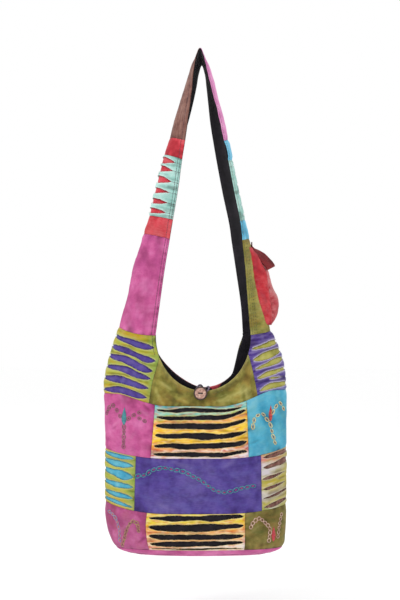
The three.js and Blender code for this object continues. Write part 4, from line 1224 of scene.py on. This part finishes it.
# %% Faces of the pouch
PLACE["pouch_gusset"] = gusset(POUCH_FRONT, -1)
PLACE["pouch_face"] = with_out(pouch_face)
PLACE["pouch_back"] = gusset(POUCH_BACK, 1)
PLACE["pouch_floor"] = with_out(pouch_floor)
POUCH_SINK = 1.6
POUCH_SEED = 1700
for seed, name in enumerate(("pouch_gusset", "pouch_face", "pouch_back", "pouch_floor")):
    hems = () if name == "pouch_floor" else ("high",)
    replaced = ["pouch"] if name == "pouch_face" else []
    CLOTHS[name] = plain_piece(
        name, BAND_STEP, POUCH_SEED + 10 * seed, hems, "crimson_cotton", replaced, POUCH_SINK
    )
print("pouch faces:", sum(name.startswith("pouch") for name in CLOTHS))

# %% [markdown]
# The flap stands open. It is quilted, with stitched channels along its length, and hangs over at its
# front edge. A stub of its seam sticks up beside it.

# %% Flap of the pouch
FLAP_FRONT, FLAP_BACK = POUCH_FRONT - 3.5, POUCH_BACK - 2
FLAP_THICK = 2.6
FLAP_CLOTH = 1.6
FLAP_STEP, TAB_STEP = 1.2, 1.5
FLAP_SEED, TAB_SEED = 1801, 1810
CHANNEL = 4.4
# Across the bag, height and droop of the front edge, from the root to the free end
FLAP = np.array([
    (103.5, -372, 7), (107, -374.5, 8.5), (113.5, -378.5, 11.5), (124.5, -388, 15.5), (137, -399.5, 18.5),
    (147, -411, 20), (150.5, -417.5, 19),
], float)
FLAP_ALONG = distances(FLAP[:, :2])


def flap_point(across, share):
    y = mix(FLAP_FRONT, FLAP_BACK, across)
    along = (1 - share) * FLAP_ALONG[-1]
    x, z, droop = np.moveaxis(hermite(FLAP_ALONG, FLAP, along), -1, 0)
    ahead = hermite(FLAP_ALONG, FLAP, np.minimum(along + 1, FLAP_ALONG[-1]))
    behind = hermite(FLAP_ALONG, FLAP, np.maximum(along - 1, 0))
    slope_x, slope_z = np.moveaxis(unit((ahead - behind)[..., :2]), -1, 0)
    root = arm_point(y, z, 0)[..., 0] - arm_point(0, z, 0)[..., 0]
    drawn = np.minimum(0, root) * smooth((share - 0.5) / 0.5)
    rise = FLAP_THICK - droop * ((FLAP_BACK - y) / (FLAP_BACK - FLAP_FRONT)) ** 1.3
    return np.stack([x - slope_z * rise + drawn, y, z + slope_x * rise], -1)


def flap_piece():
    place = with_out(flap_point)
    across, share, u, v = lattice(*measure(place, FLAP_STEP))
    rib = np.abs(np.sin(np.pi * (u / CHANNEL + 0.25)))
    near = np.minimum(np.minimum(u, u.max() - u), v)
    lift = 1.3 * rib - 0.8 - 0.8 * np.exp(-near / 1.2) + 0.3 * cloud(np.stack([u, v], -1), 9, FLAP_SEED)
    edge = 0.6 * np.exp(-np.minimum(u.max() - u, v) / 1.0)
    grid = cloth_grid(place, across, share, u, v, lift, edge=edge, worn=0.4 * rib)
    return cloth("pouch_flap", grid_mesh("pouch_flap", [grid]), FLAP_CLOTH)


TAB = dict(front=-10, back=-2, low=-385, high=-370, standoff=3.0, tilt=1.5)


def tab_point(across, share):
    y, z = mix(TAB["front"], TAB["back"], across), mix(TAB["low"], TAB["high"], share)
    point = arm_point(y, z, TAB["standoff"])
    point[..., 0] += TAB["tilt"] * smooth(share)
    return point


CLOTHS["pouch_flap"] = flap_piece()
across_mm, along_mm = (float(line[-1]) for line in measure(with_out(flap_point), FLAP_STEP)[1::2])
PLACE["pouch_tab"] = with_out(tab_point)
plain_piece("pouch_tab", TAB_STEP, TAB_SEED, ("left", "right", "high"), "maroon_cotton", [], 1)

# %% [markdown]
# ## Button and cord
# The button is a slice of coconut shell, turned with a raised ring and drilled with two holes. A spun
# profile gives the turning, and a Boolean drills it. Shell is hard and a little polished, mottled in pink
# and brown, with its dark skin left on the rim.

# %% Coconut button
BUTTON = Vector((1, 0, -668.5))
BUTTON_TURN, BUTTON_THICK = 4, 3.2
BUTTON_STANDOFF, HOLE_RADIUS, HOLE_SPREAD = 4.4, 1.5, 3.4
PATCH = 1.6
yoke_face = float((body_point(BUTTON_TURN, BUTTON.z) + body_out(BUTTON_TURN, BUTTON.z) * PATCH)[1])
button_back = yoke_face - BUTTON_STANDOFF
# Distance from the axis and height above the button's back
TURNED = np.array([
    (0, 0), (10.5, 0), (12.8, 0.2), (13.6, 0.8), (13.8, 1.6), (13.5, 2.5), (12.7, 3.1), (11.6, 3.2),
    (10.8, 2.8), (10.2, 2.4), (8.5, 2.2), (5.5, 2.1), (2.5, 2.2), (0, 2.3),
])

shell, shell_tree = new_material("coconut_shell")
shell_place = add(shell_tree, "ShaderNodeMapping", inputs={
    "Vector": add(shell_tree, "ShaderNodeTexCoord").outputs["Object"],
    "Location": (-BUTTON.x * MM, 0, -BUTTON.z * MM), "Scale": (1, 0, 1),
}).outputs[0]
mottle = add(shell_tree, "ShaderNodeTexNoise", inputs={
    "Vector": shell_place, "Scale": 1 / (4 * MM), "Detail": 5, "Roughness": 0.7,
}).outputs[0]
shell_paint = add(shell_tree, "ShaderNodeValToRGB", inputs={0: mottle}, stops=(
    (0.32, "#4E2F24"), (0.42, "#96695A"), (0.52, "#BE9484"), (0.68, "#E2C2AE"),
)).outputs[0]
from_axis = add(shell_tree, "ShaderNodeVectorMath", {"operation": "LENGTH"}, {0: shell_place})
skin = add(shell_tree, "ShaderNodeMapRange", inputs={
    "Value": from_axis.outputs["Value"], "From Min": 10.2 * MM, "From Max": 11.4 * MM,
}).outputs[0]
shell_paint = add(shell_tree, "ShaderNodeMix", {"data_type": "RGBA"}, {
    0: skin, 6: shell_paint, 7: colour("#35211A"),
}).outputs[2]
shell_bump = add(shell_tree, "ShaderNodeBump", inputs={
    "Height": mottle, "Strength": 0.3, "Distance": 0.3 * MM,
})
shell_shader = add(shell_tree, "ShaderNodeBsdfPrincipled", inputs={
    "Base Color": shell_paint, "Normal": shell_bump.outputs[0], "Roughness": 0.42,
})
add(shell_tree, "ShaderNodeOutputMaterial", inputs={"Surface": shell_shader.outputs[0]})


def plain_mesh(thing):
    """The mesh of an object after its modifiers; the object itself is taken away."""
    bpy.context.view_layer.update()
    mesh = bpy.data.meshes.new_from_object(thing.evaluated_get(bpy.context.evaluated_depsgraph_get()))
    bpy.data.objects.remove(thing)
    return mesh


def button_piece():
    angles = np.linspace(0, 2 * np.pi, 49)[:, None]
    radius, rise = TURNED[:, 0][None, :], TURNED[:, 1][None, :]
    x, z = BUTTON.x + radius * np.cos(angles), BUTTON.z + radius * np.sin(angles)
    points = np.stack([x, np.broadcast_to(button_back - rise, x.shape), z], -1)
    turned = grid_mesh("button", [dict(points=points, uv=points[..., ::2], values={})], weld=True)
    blank = bpy.data.objects.new("button_blank", turned)
    bpy.context.scene.collection.objects.link(blank)
    drill = bmesh.new()
    forwards = Matrix.Rotation(math.pi / 2, 3, "X")
    for side in (-1, 1):
        made = bmesh.ops.create_cone(drill, cap_ends=True, segments=20, radius1=HOLE_RADIUS * MM,
                                     radius2=HOLE_RADIUS * MM, depth=4 * BUTTON_THICK * MM)
        bmesh.ops.rotate(drill, verts=made["verts"], cent=(0, 0, 0), matrix=forwards)
        place = Vector((BUTTON.x + side * HOLE_SPREAD, button_back, BUTTON.z)) * MM
        bmesh.ops.translate(drill, verts=made["verts"], vec=place)
    drill_mesh = bpy.data.meshes.new("button_drill")
    drill.to_mesh(drill_mesh)
    drill.free()
    drills = bpy.data.objects.new("button_drill", drill_mesh)
    bpy.context.scene.collection.objects.link(drills)
    holes = blank.modifiers.new("holes", "BOOLEAN")
    holes.object = drills
    holes.solver = "EXACT"
    mesh = plain_mesh(blank)
    bpy.data.objects.remove(drills)
    return piece("button_shell", mesh, shell, "coconut_shell", ["button"])


button_shell = button_piece()
print("button faces:", len(button_shell.data.polygons))

# %% [markdown]
# The loop is a limp two-ply cotton cord from the back yoke. It lies over the edge of the mouth and behind
# the button, so it is held all the way. Each ply is a tube that winds round the cord's own line.

# %% Cord loop and button thread
def cord_finish(name, dark, pale):
    """Twisted cotton: dark strands with paler fibres along them, soft and dull."""
    material, tree = new_material(name)
    fibre_place = add(tree, "ShaderNodeMapping", inputs={
        "Vector": add(tree, "ShaderNodeTexCoord").outputs["UV"], "Scale": (1 / (0.7 * MM), 1 / (6 * MM), 1),
    })
    fibres = add(tree, "ShaderNodeTexNoise", inputs={
        "Vector": fibre_place.outputs[0], "Scale": 1, "Detail": 3,
    })
    shades = ((0.35, dark), (0.7, pale))
    paint = add(tree, "ShaderNodeValToRGB", inputs={0: fibres.outputs[0]}, stops=shades)
    bump = add(tree, "ShaderNodeBump", inputs={
        "Height": fibres.outputs[0], "Strength": 0.6, "Distance": 0.3 * MM,
    })
    shader = add(tree, "ShaderNodeBsdfPrincipled", inputs={
        "Base Color": paint.outputs[0], "Normal": bump.outputs[0], "Roughness": 0.85, "Sheen Weight": 0.15,
    })
    add(tree, "ShaderNodeOutputMaterial", inputs={"Surface": shader.outputs[0]})
    return material


def strands(route, radius, step, plies=1, pitch=1, offset=0):
    """Grids of round strands along a route; the plies wind round it, one turn in each pitch."""
    knots = distances(route)
    along = np.linspace(0, knots[-1], max(4, round(knots[-1] / step)))
    path = hermite(knots, route, along)
    tangent = unit(np.gradient(path, axis=0))
    side = np.empty_like(path)
    last = np.array([0.0, 0.0, 1.0]) if abs(tangent[0, 2]) < 0.8 else np.array([1.0, 0.0, 0.0])
    for i, way in enumerate(tangent):
        last = unit(last - way * np.dot(last, way))
        side[i] = last
    up = np.cross(tangent, side)
    around = np.linspace(0, 2 * np.pi, 9)[:, None, None]
    size = np.full(len(along), radius)
    size[[0, -1]] = 0
    ring = (np.cos(around) * side + np.sin(around) * up) * size[:, None]
    grids = []
    for ply in range(plies):
        wind = 2 * np.pi * (along / pitch + ply / plies)[:, None]
        centre = path + offset * (np.cos(wind) * side + np.sin(wind) * up)
        uv = np.stack(np.broadcast_arrays(around[..., 0] * radius + 5 * ply, along), -1)
        grids.append(dict(points=centre + ring, uv=uv, values={}))
    return grids


LOOP_RADIUS = 2.0
back_edge = body_point(180, mouth_at(180))
front_edge = body_point(BUTTON_TURN, mouth_at(BUTTON_TURN))
behind = yoke_face - BUTTON_STANDOFF / 2
over = front_edge[2] + LOOP_RADIUS + 1.2
# From the back yoke over the edge of the mouth, down behind the button, up again and back
loop_route = [
    (5, back_edge[1] - 2.5, back_edge[2] - 5), (4, mix(back_edge[1], front_edge[1], 0.4), over + 3),
    (0.5, mix(back_edge[1], front_edge[1], 0.8), over + 7.2), (-3.5, front_edge[1] + 0.6, over + 6),
    (-6.5, behind + 0.4, over + 0.5), (-6, behind, BUTTON.z), (BUTTON.x, behind, BUTTON.z - 4.2),
    (8, behind, BUTTON.z), (14, behind, BUTTON.z + 4.5), (17.3, behind + 0.3, over + 0.4),
    (17.3, front_edge[1] + 0.6, over + 4), (15.5, mix(back_edge[1], front_edge[1], 0.6), over + 2.6),
    (13, back_edge[1] - 2.5, back_edge[2] - 5),
]
dark_cord = cord_finish("twisted_cotton_cord", "#4A3A4C", "#94809A")
loop_grids = strands(np.array(loop_route), 1.1, 0.7, plies=2, pitch=7.5, offset=0.9)
loop_mesh = grid_mesh("button_loop", loop_grids, weld=True)
piece("button_loop_cord", loop_mesh, dark_cord, "dark_cord", ["button_loop"])

# Two strands come out of the yoke, through one hole, over the button's face and back through the other.
# Each row has a distance from the button's middle and a depth.
face_y = button_back - 2.2
thread_grids = []
for shift in (-0.55, 0.55):
    half = [(1.0, yoke_face - 0.4), (2.4, yoke_face - 2.6), (3.3, button_back - 0.2), (3.3, face_y + 0.4)]
    over = [(2.6, face_y - 0.9), (0, face_y - 1.1), (-2.6, face_y - 0.9)]
    route = [*half, *over, *[(-x, y) for x, y in half[::-1]]]
    route = np.array([(BUTTON.x + x, y, BUTTON.z + shift) for x, y in route])
    thread_grids += strands(route, 0.6, 0.6)
button_floss = cord_finish("waxed_button_thread", "#241A1C", "#4A3A38")
thread_mesh = grid_mesh("button_thread", thread_grids, weld=True)
piece("button_thread_strands", thread_mesh, button_floss, "dark_cord", ["button_thread"])
print("loop from end to end:", round(distances(np.array(loop_route))[-1]), "mm")

# %% [markdown]
# ## Stitches by Geometry Nodes
# Every seam line, embroidered stem and frayed edge is a line with something small repeated along it. So
# one short tree makes each kind: it turns a mesh of edges into curves, spaces points along them, and puts
# a stitch, a chain link or a loose hair on each. The lines carry the way out of the cloth as an attribute,
# which turns the stitches to lie flat.

# %% Trees for thread
def thread_tree(name, *sizes):
    """A Geometry Nodes tree that takes lines, its sizes in metres and a material."""
    tree = bpy.data.node_groups.new(name, "GeometryNodeTree")
    tree.interface.new_socket("Lines", in_out="INPUT", socket_type="NodeSocketGeometry")
    for key in ("Pitch", *sizes):
        tree.interface.new_socket(key, in_out="INPUT", socket_type="NodeSocketFloat")
    tree.interface.new_socket("Material", in_out="INPUT", socket_type="NodeSocketMaterial")
    tree.interface.new_socket("Thread", in_out="OUTPUT", socket_type="NodeSocketGeometry")
    given = add(tree, "NodeGroupInput").outputs
    curves = add(tree, "GeometryNodeMeshToCurve", inputs={0: given["Lines"]})
    spaced = add(tree, "GeometryNodeCurveToPoints", {"mode": "LENGTH"}, {
        "Curve": curves.outputs[0], "Length": given["Pitch"],
    })
    out = add(tree, "GeometryNodeInputNamedAttribute", {"data_type": "FLOAT_VECTOR"}, {"Name": "out"})
    return tree, given, spaced.outputs, out.outputs[0]


def lying(tree, spaced, out):
    """Turns of points that lie along their line, with the way out of the cloth upwards."""
    along = add(tree, "FunctionNodeAlignRotationToVector", {"axis": "X"}, {"Vector": spaced["Tangent"]})
    return add(tree, "FunctionNodeAlignRotationToVector", {"axis": "Z", "pivot_axis": "X"}, {
        "Rotation": along.outputs[0], "Vector": out,
    }).outputs[0]


def end_tree(tree, given, spaced, shape, **placed):
    repeated = add(tree, "GeometryNodeInstanceOnPoints", inputs={
        "Points": spaced["Points"], "Instance": shape, **placed,
    })
    real = add(tree, "GeometryNodeRealizeInstances", inputs={0: repeated.outputs[0]})
    coloured = add(tree, "GeometryNodeSetMaterial", inputs={
        "Geometry": real.outputs[0], "Material": given["Material"],
    })
    add(tree, "NodeGroupOutput", inputs={0: coloured.outputs[0]})
    return tree


def stitch_tree():
    tree, given, spaced, out = thread_tree("stitches", "Long", "Wide", "High")
    span = add(tree, "GeometryNodeInputNamedAttribute", {"data_type": "FLOAT"}, {"Name": "span"})
    wide = add(tree, "ShaderNodeMath", {"operation": "MULTIPLY"}, {0: given["Wide"], 1: span.outputs[0]})
    size = add(tree, "ShaderNodeCombineXYZ", inputs={
        0: given["Long"], 1: wide.outputs[0], 2: given["High"],
    })
    bead = add(tree, "GeometryNodeMeshUVSphere", inputs={"Segments": 8, "Rings": 4, "Radius": 0.5})
    turned = lying(tree, spaced, out)
    return end_tree(tree, given, spaced, bead.outputs[0], Rotation=turned, Scale=size.outputs[0])


def chain_tree():
    tree, given, spaced, out = thread_tree("chain_stitches", "Long", "Wide", "Thread")
    ring = add(tree, "GeometryNodeCurvePrimitiveCircle", inputs={"Resolution": 10, "Radius": 0.5})
    size = add(tree, "ShaderNodeCombineXYZ", inputs={0: given["Long"], 1: given["Wide"], 2: 1})
    oval = add(tree, "GeometryNodeTransform", inputs={
        "Geometry": ring.outputs[0], "Scale": size.outputs[0],
    })
    strand = add(tree, "GeometryNodeCurvePrimitiveCircle", inputs={
        "Resolution": 4, "Radius": given["Thread"],
    })
    link = add(tree, "GeometryNodeCurveToMesh", inputs={
        "Curve": oval.outputs[0], "Profile Curve": strand.outputs[0],
    })
    askew = add(tree, "FunctionNodeRandomValue", {"data_type": "FLOAT"}, {2: -0.3, 3: 0.3, "Seed": 3})
    twist = add(tree, "ShaderNodeCombineXYZ", inputs={2: askew.outputs[1]})
    turned = add(tree, "FunctionNodeRotateRotation", {"rotation_space": "LOCAL"}, {
        0: lying(tree, spaced, out), 1: twist.outputs[0],
    })
    size = add(tree, "FunctionNodeRandomValue", {"data_type": "FLOAT"}, {2: 0.8, 3: 1.12, "Seed": 4})
    return end_tree(tree, given, spaced, link.outputs[0], Rotation=turned.outputs[0], Scale=size.outputs[1])


def fray_tree():
    tree, given, spaced, out = thread_tree("frayed_threads", "Long", "Thick")
    hair = add(tree, "GeometryNodeMeshCone", inputs={
        "Vertices": 3, "Radius Top": 0, "Radius Bottom": given["Thick"], "Depth": given["Long"],
    })
    stray = add(tree, "FunctionNodeRandomValue", {"data_type": "FLOAT_VECTOR"}, {
        0: (-1.1, -1.1, -1.1), 1: (1.1, 1.1, 1.1), "Seed": 5,
    })
    way = add(tree, "ShaderNodeVectorMath", {"operation": "ADD"}, {0: out, 1: stray.outputs[0]})
    turned = add(tree, "FunctionNodeAlignRotationToVector", {"axis": "Z"}, {"Vector": way.outputs[0]})
    size = add(tree, "FunctionNodeRandomValue", {"data_type": "FLOAT"}, {2: 0.3, 3: 1.0, "Seed": 9})
    return end_tree(tree, given, spaced, hair.outputs[0], Rotation=turned.outputs[0], Scale=size.outputs[1])


STITCHES, CHAIN, FRAY = stitch_tree(), chain_tree(), fray_tree()


def sew(name, tree, lines, material, slot, **sizes):
    """Sews lines with a tree; a line has points and ways out in millimetres, and maybe a span."""
    points, edges, outs, spans = [], [], [], []
    for line, out, *span in lines:
        edges += [(len(points) + i, len(points) + i + 1) for i in range(len(line) - 1)]
        points += (line * MM).tolist()
        outs.append(out)
        spans.append(span[0] if span else np.ones(len(line)))
    mesh = bpy.data.meshes.new(name)
    mesh.from_pydata(points, edges, [])
    ways = np.concatenate(outs).astype(np.float32).ravel()
    mesh.attributes.new("out", "FLOAT_VECTOR", "POINT").data.foreach_set("vector", ways)
    widths = np.concatenate(spans).astype(np.float32)
    mesh.attributes.new("span", "FLOAT", "POINT").data.foreach_set("value", widths)
    thing = bpy.data.objects.new(name + "_lines", mesh)
    bpy.context.scene.collection.objects.link(thing)
    nodes = thing.modifiers.new("thread", "NODES")
    nodes.node_group = tree
    values = {key: value * MM for key, value in sizes.items()}
    for socket in tree.interface.items_tree:
        if socket.in_out == "INPUT" and socket.name != "Lines":
            nodes[socket.identifier] = material if socket.name == "Material" else values[socket.name]
    return piece(name, plain_mesh(thing), material, slot)


print("thread trees:", [tree.name for tree in (STITCHES, CHAIN, FRAY)])

# %% [markdown]
# ## Loose threads of the slits
# Cut cotton frays once it is washed. Short hairs stand along every cut edge, in the pale colour of the
# cloth's faded cut edges.

# %% Frayed edges
def floss(name, dark, pale, roughness=0.7):
    """Cotton thread: two close shades along it, softly shining."""
    material, tree = new_material(name)
    patchy = add(tree, "ShaderNodeTexNoise", inputs={
        "Vector": add(tree, "ShaderNodeTexCoord").outputs["Object"], "Scale": 1 / (3 * MM), "Detail": 3,
    })
    shades = ((0.35, dark), (0.65, pale))
    paint = add(tree, "ShaderNodeValToRGB", inputs={0: patchy.outputs[0]}, stops=shades)
    shader = add(tree, "ShaderNodeBsdfPrincipled", inputs={
        "Base Color": paint.outputs[0], "Roughness": roughness, "Sheen Weight": 0.2,
    })
    add(tree, "ShaderNodeOutputMaterial", inputs={"Surface": shader.outputs[0]})
    return material


HAIR_COLOURS = {
    "shoulder_left": ("#B9B545", "#EDEBB8"), "shoulder_right": ("#A99BD0", "#F1EBF2"),
    "second_front": ("#E8C36A", "#F7EFD8"), "third_left": ("#C2B23A", "#EDE7A0"),
    "third_right": ("#D9C98A", "#F7F1EC"), "fourth_front": ("#E5C45A", "#F8F0D0"),
    "strap_left_mint": ("#A9D8CC", "#E4F4EE"), "strap_right_mint": ("#A9D8CC", "#E4F4EE"),
}
for name, shades in HAIR_COLOURS.items():
    lines = [(line, out) for owner, line, out in cut_edges if owner == name]
    sew(name + "_fray", FRAY, lines, floss(name + "_loose_thread", *shades), SLOT[name],
        Pitch=1.1, Long=3.2, Thick=0.2)
print("frayed patches:", len(HAIR_COLOURS))

# %% [markdown]
# ## Topstitching
# Machine stitches hold the hems of the strap and the mouth. Their lines are laid on the cloth by casting
# rays from just outside it, so each stitch sits on the folds.

# %% Topstitched hems
TREES = {}
# A ray starts this far outside the cloth, and is stopped before it can reach the far side
OUTSIDE = 9
NEAR = 20


def cast(name, origins, ways, reach=1e4):
    """Points where rays meet a piece of cloth, in millimetres, and the way out there."""
    if name not in TREES:
        mesh = CLOTHS[name].data
        faces = [face.vertices for face in mesh.polygons]
        TREES[name] = BVHTree.FromPolygons([vertex.co for vertex in mesh.vertices], faces)
    rays = zip(origins, ways)
    hits = [TREES[name].ray_cast(Vector(origin) * MM, Vector(way), reach * MM) for origin, way in rays]
    met = [(tuple(hit[0]), tuple(hit[1])) for hit in hits if hit[0] is not None]
    if len(met) < 2:
        return None
    points, outs = np.array(met).transpose(1, 0, 2)
    return points / MM, outs


def strap_line(name, inside, start=0.0, end=1.0):
    """A line along a band, some millimetres inside its front edge."""
    ends = BANDS.get(name) or CUT_BANDS[name]["ends"]
    first, last = (STATIONS.index(station) for station in ends)
    station = np.linspace(mix(first, last, start), mix(first, last, end), 60)
    tenth = np.linalg.norm(strap_point(-0.9, station) - strap_point(-1, station), axis=-1)
    w = -1 + 0.1 * inside / tenth
    out = strap_out(w, station)
    return cast(name, strap_point(w, station) + out * OUTSIDE, -out, NEAR)


def strap_rung(name, share, start, end):
    """A short line across a band at a share of its length, between two places across."""
    first, last = (STATIONS.index(station) for station in CUT_BANDS[name]["ends"])
    w = np.linspace(start, end, 12)
    station = np.full_like(w, mix(first, last, share))
    out = strap_out(w, station)
    return cast(name, strap_point(w, station) + out * OUTSIDE, -out, NEAR)


machine_thread = floss("machine_thread", "#2A1420", "#48283A")
olive_thread = floss("olive_machine_thread", "#443E18", "#665E2A")
HEM = 8
left_bands = [name for name in (*BANDS, *CUT_BANDS) if name.startswith("strap_left")]
left_hem = [line for line in (strap_line(name, HEM) for name in left_bands) if line]
left_hem.append(strap_line("strap_left_pink", 3))
left_hem.append(strap_line("strap_left_mint", 3))
left_hem += [strap_rung("strap_left_mint", share, -0.98, -0.78) for share in MINT_SLITS["left"]]
# One more line runs on from the strap's hem, down the left shoulder beside the mouth
shoulder_z = np.linspace(-592, JOINT - 2, 40)
shoulder_turn = np.interp(shoulder_z, *MOUTH_EDGE["front", -1]) - 2.8
shoulder_out = body_out(shoulder_turn, shoulder_z)
shoulder_from = body_point(shoulder_turn, shoulder_z) + shoulder_out * OUTSIDE
left_hem.append(cast("shoulder_left", shoulder_from, -shoulder_out, NEAR))
left_hem = [line for line in left_hem if line]
sew("strap_left_topstitch", STITCHES, left_hem, machine_thread, "dark_cord",
    Pitch=3.2, Long=3.1, Wide=1.2, High=0.9)
right_bands = [name for name in (*BANDS, *CUT_BANDS) if name.startswith("strap_right")]
right_hem = [line for line in (strap_line(name, 4) for name in right_bands) if line]
sew("strap_right_topstitch", STITCHES, right_hem, olive_thread, "dark_cord",
    Pitch=3.2, Long=2.8, Wide=1.2, High=0.8)

basting = [strap_line("strap_right_olive", inside) for inside in (9, 14)]
sew("strap_right_basting", STITCHES, basting, olive_thread, "dark_cord",
    Pitch=6.5, Long=4.2, Wide=1.5, High=0.9)


def mouth_line(name, first, last, below):
    """A line some millimetres below the mouth's edge, between two turns."""
    turn = np.linspace(first, last, 120)
    z = mouth_at(turn) - below
    out = body_out(turn, z)
    return cast(name, body_point(turn, z) + out * OUTSIDE, -out, NEAR)


mouth_hem = [mouth_line("yoke_front", -20, 33, HEM), mouth_line("yoke_front", -20, 33, 2.5)]
sew("mouth_topstitch", STITCHES, mouth_hem, olive_thread, "olive_cotton",
    Pitch=3.4, Long=2.6, Wide=0.7, High=0.6)
print("topstitched lines:", len(left_hem) + len(right_hem) + len(mouth_hem))

# %% [markdown]
# ## Embroidery
# Loose chain stitch draws stems and curls on the plain patches. Inside each link lies one stitch of another
# colour, and a bud of satin stitch stands on most stems. The lines are set out as seen from the front, in
# millimetres across and up, and cast on to the cloth from the camera's place.

# %% Embroidered stems, curls and buds
EYE = np.array([0, -CAMERA_AWAY, CAMERA_HEIGHT]) / MM


def front_line(name, corners, step=1.5):
    """A smooth line through places seen from the front, laid on a piece of cloth."""
    corners = np.array(corners, float)
    knots = distances(corners)
    seen = hermite(knots, corners, np.linspace(0, knots[-1], max(3, round(knots[-1] / step))))
    aim = np.stack([seen[:, 0], np.zeros(len(seen)), seen[:, 1]], -1)
    return cast(name, np.broadcast_to(EYE, aim.shape), unit(aim - EYE))


# The patch, a link's length in millimetres and its width as a share of that, two shades of the chain and of
# the stitches inside it, and the lines
CURLS = {
    "brown_curls": dict(
        patch="second_left", link=9, wide=0.75, slot="brown_cotton",
        floss=("#4E4038", "#7A6A50"), heart=("#4A1028", "#6A1E3C"),
        lines=(((-152, -739), (-153, -778)),
               ((-160, -717), (-166, -706), (-174, -696)),
               ((-182, -701), (-186, -710)),
               ((-143, -722), (-136, -717), (-129, -714), (-121, -710)),
               ((-121, -722), (-111, -727))),
    ),
    "cream_curls": dict(
        patch="second_right", link=10.5, wide=0.52, slot="pale_tie_dye",
        floss=("#BE9A46", "#F2DC8E"), heart=("#6A2C20", "#94462E"),
        lines=(((141, -735), (145, -752), (150, -770)),
               ((134, -724), (127, -714), (117, -715), (109, -724), (106, -738)),
               ((146, -709), (152, -698), (160, -691), (167, -702))),
    ),
    "teal_wave": dict(
        patch="third_front", link=12, wide=0.62, slot="cyan_cotton",
        floss=("#226A78", "#4F9C9E"), heart=("#8E2C50", "#B8405C"),
        lines=(((-124, -837), (-110, -835), (-94, -825), (-73, -821), (-54, -824), (-31, -829), (-16, -837),
                (2, -846), (18, -858), (31, -866), (46, -870), (65, -867), (81, -862), (96, -859),
                (106, -857)),),
    ),
    "gold_arch": dict(
        patch="fourth_left", link=8, wide=0.7, slot="lime_cotton",
        floss=("#7C5A40", "#B09A58"), heart=("#5A3A2A", "#7A4A34"),
        lines=(((-155, -974), (-152, -964), (-146, -943), (-136, -928), (-126, -932), (-123, -946)),),
    ),
    "grey_stem": dict(
        patch="fourth_left", link=9, wide=0.6, slot="dark_cord",
        floss=("#6E7692", "#9CA4B8"), heart=("#C05A34", "#D87844"),
        lines=(((-181, -908), (-170, -919), (-162, -944), (-161, -965)),),
    ),
    "rose_curls": dict(
        patch="fourth_right", link=8, wide=0.85, slot="pink_cotton",
        floss=("#A8786C", "#DDBCAE"), heart=("#5A3028", "#7E4836"),
        lines=(((138, -966), (140, -943), (131, -931), (118, -922), (107, -930), (102, -939)),
               ((156, -958), (159, -935), (163, -914))),
    ),
}
CLOSE = 0.96
for name, curl in CURLS.items():
    lines = [line for line in (front_line(curl["patch"], places) for places in curl["lines"]) if line]
    link = curl["link"]
    sew(name, CHAIN, lines, floss(name + "_floss", *curl["floss"]), curl["slot"],
        Pitch=CLOSE * link, Long=link, Wide=curl["wide"] * link, Thread=0.85)
    sew(name + "_hearts", STITCHES, lines, floss(name + "_heart_floss", *curl["heart"]), "dark_cord",
        Pitch=CLOSE * link, Long=0.45 * link, Wide=2.2, High=1.4)

# Patch, top and bottom of each bud, its width and its two shades
BUDS = {
    "teal_bud": ("second_left", (-151, -700), (-152.5, -734), 11.5, ("#256A78", "#4A949A"), "cyan_cotton"),
    "scarlet_bud": ("second_right", (141.5, -696), (141, -727), 9, ("#8E2228", "#D0483C"), "red_cotton"),
    "ruby_bud": ("fourth_right", (147.5, -938), (147, -967), 10.5, ("#9A2030", "#CC3A40"), "red_cotton"),
}
for name, (patch, top, bottom, wide, shades, slot) in BUDS.items():
    points, outs = front_line(patch, (top, bottom), 0.5)
    span = np.sin(np.pi * np.linspace(0.02, 0.97, len(points)) ** 1.4) ** 0.7
    sew(name, STITCHES, [(points, outs, span)], floss(name + "_satin", *shades, 0.5), slot,
        Pitch=0.9, Long=1.5, Wide=wide, High=1.8)
print("embroidered motifs:", len(CURLS) + len(BUDS))

# %% [markdown]
# ## Stage
# A wide pale floor lies under the hanging bag. Light comes softly from all round, with one large lamp in
# front at the upper left, so that the folds still show.

# %% Floor, light and world
floor_mesh = bpy.data.meshes.new("floor")
FLOOR_REACH, FLOOR_DROP = 9.0, -1.12
signs = [(-1, -1), (1, -1), (1, 1), (-1, 1)]
corners = [(x * FLOOR_REACH, y * FLOOR_REACH, FLOOR_DROP) for x, y in signs]
floor_mesh.from_pydata(corners, [], [(0, 1, 2, 3)])
# Matt white paper, which shows only the softest shadow
pale, pale_tree = new_material("pale_paper")
pale_shader = add(pale_tree, "ShaderNodeBsdfPrincipled", inputs={
    "Base Color": colour("#FEFEFE"), "Roughness": 1.0,
})
add(pale_tree, "ShaderNodeOutputMaterial", inputs={"Surface": pale_shader.outputs[0]})
floor_mesh.materials.append(pale)
floor = bpy.data.objects.new("floor", floor_mesh)
bpy.context.scene.collection.objects.link(floor)

world = bpy.data.worlds.new("studio")
world.use_nodes = True
world.node_tree.nodes.clear()
all_round = add(world.node_tree, "ShaderNodeBackground", inputs={
    "Color": colour("#FFFFFF"), "Strength": 1.0,
})
add(world.node_tree, "ShaderNodeOutputWorld", inputs={"Surface": all_round.outputs[0]})
bpy.context.scene.world = world
bpy.context.scene.view_settings.view_transform = "Standard"


def soft_lamp(name, place, aim, size, watts):
    lamp = bpy.data.lights.new(name, "AREA")
    lamp.size = size
    lamp.energy = watts
    thing = bpy.data.objects.new(name, lamp)
    thing.location = place
    thing.rotation_euler = (Vector(aim) - Vector(place)).to_track_quat("-Z", "Y").to_euler()
    bpy.context.scene.collection.objects.link(thing)


MIDDLE = (0, 0, -0.6)
soft_lamp("key_lamp", (-2.4, -1.8, 1.2), MIDDLE, 0.9, 22)
soft_lamp("back_lamp", (1.4, 2.4, 0.8), MIDDLE, 1.6, 12)
print("lamps:", len(bpy.data.lights))
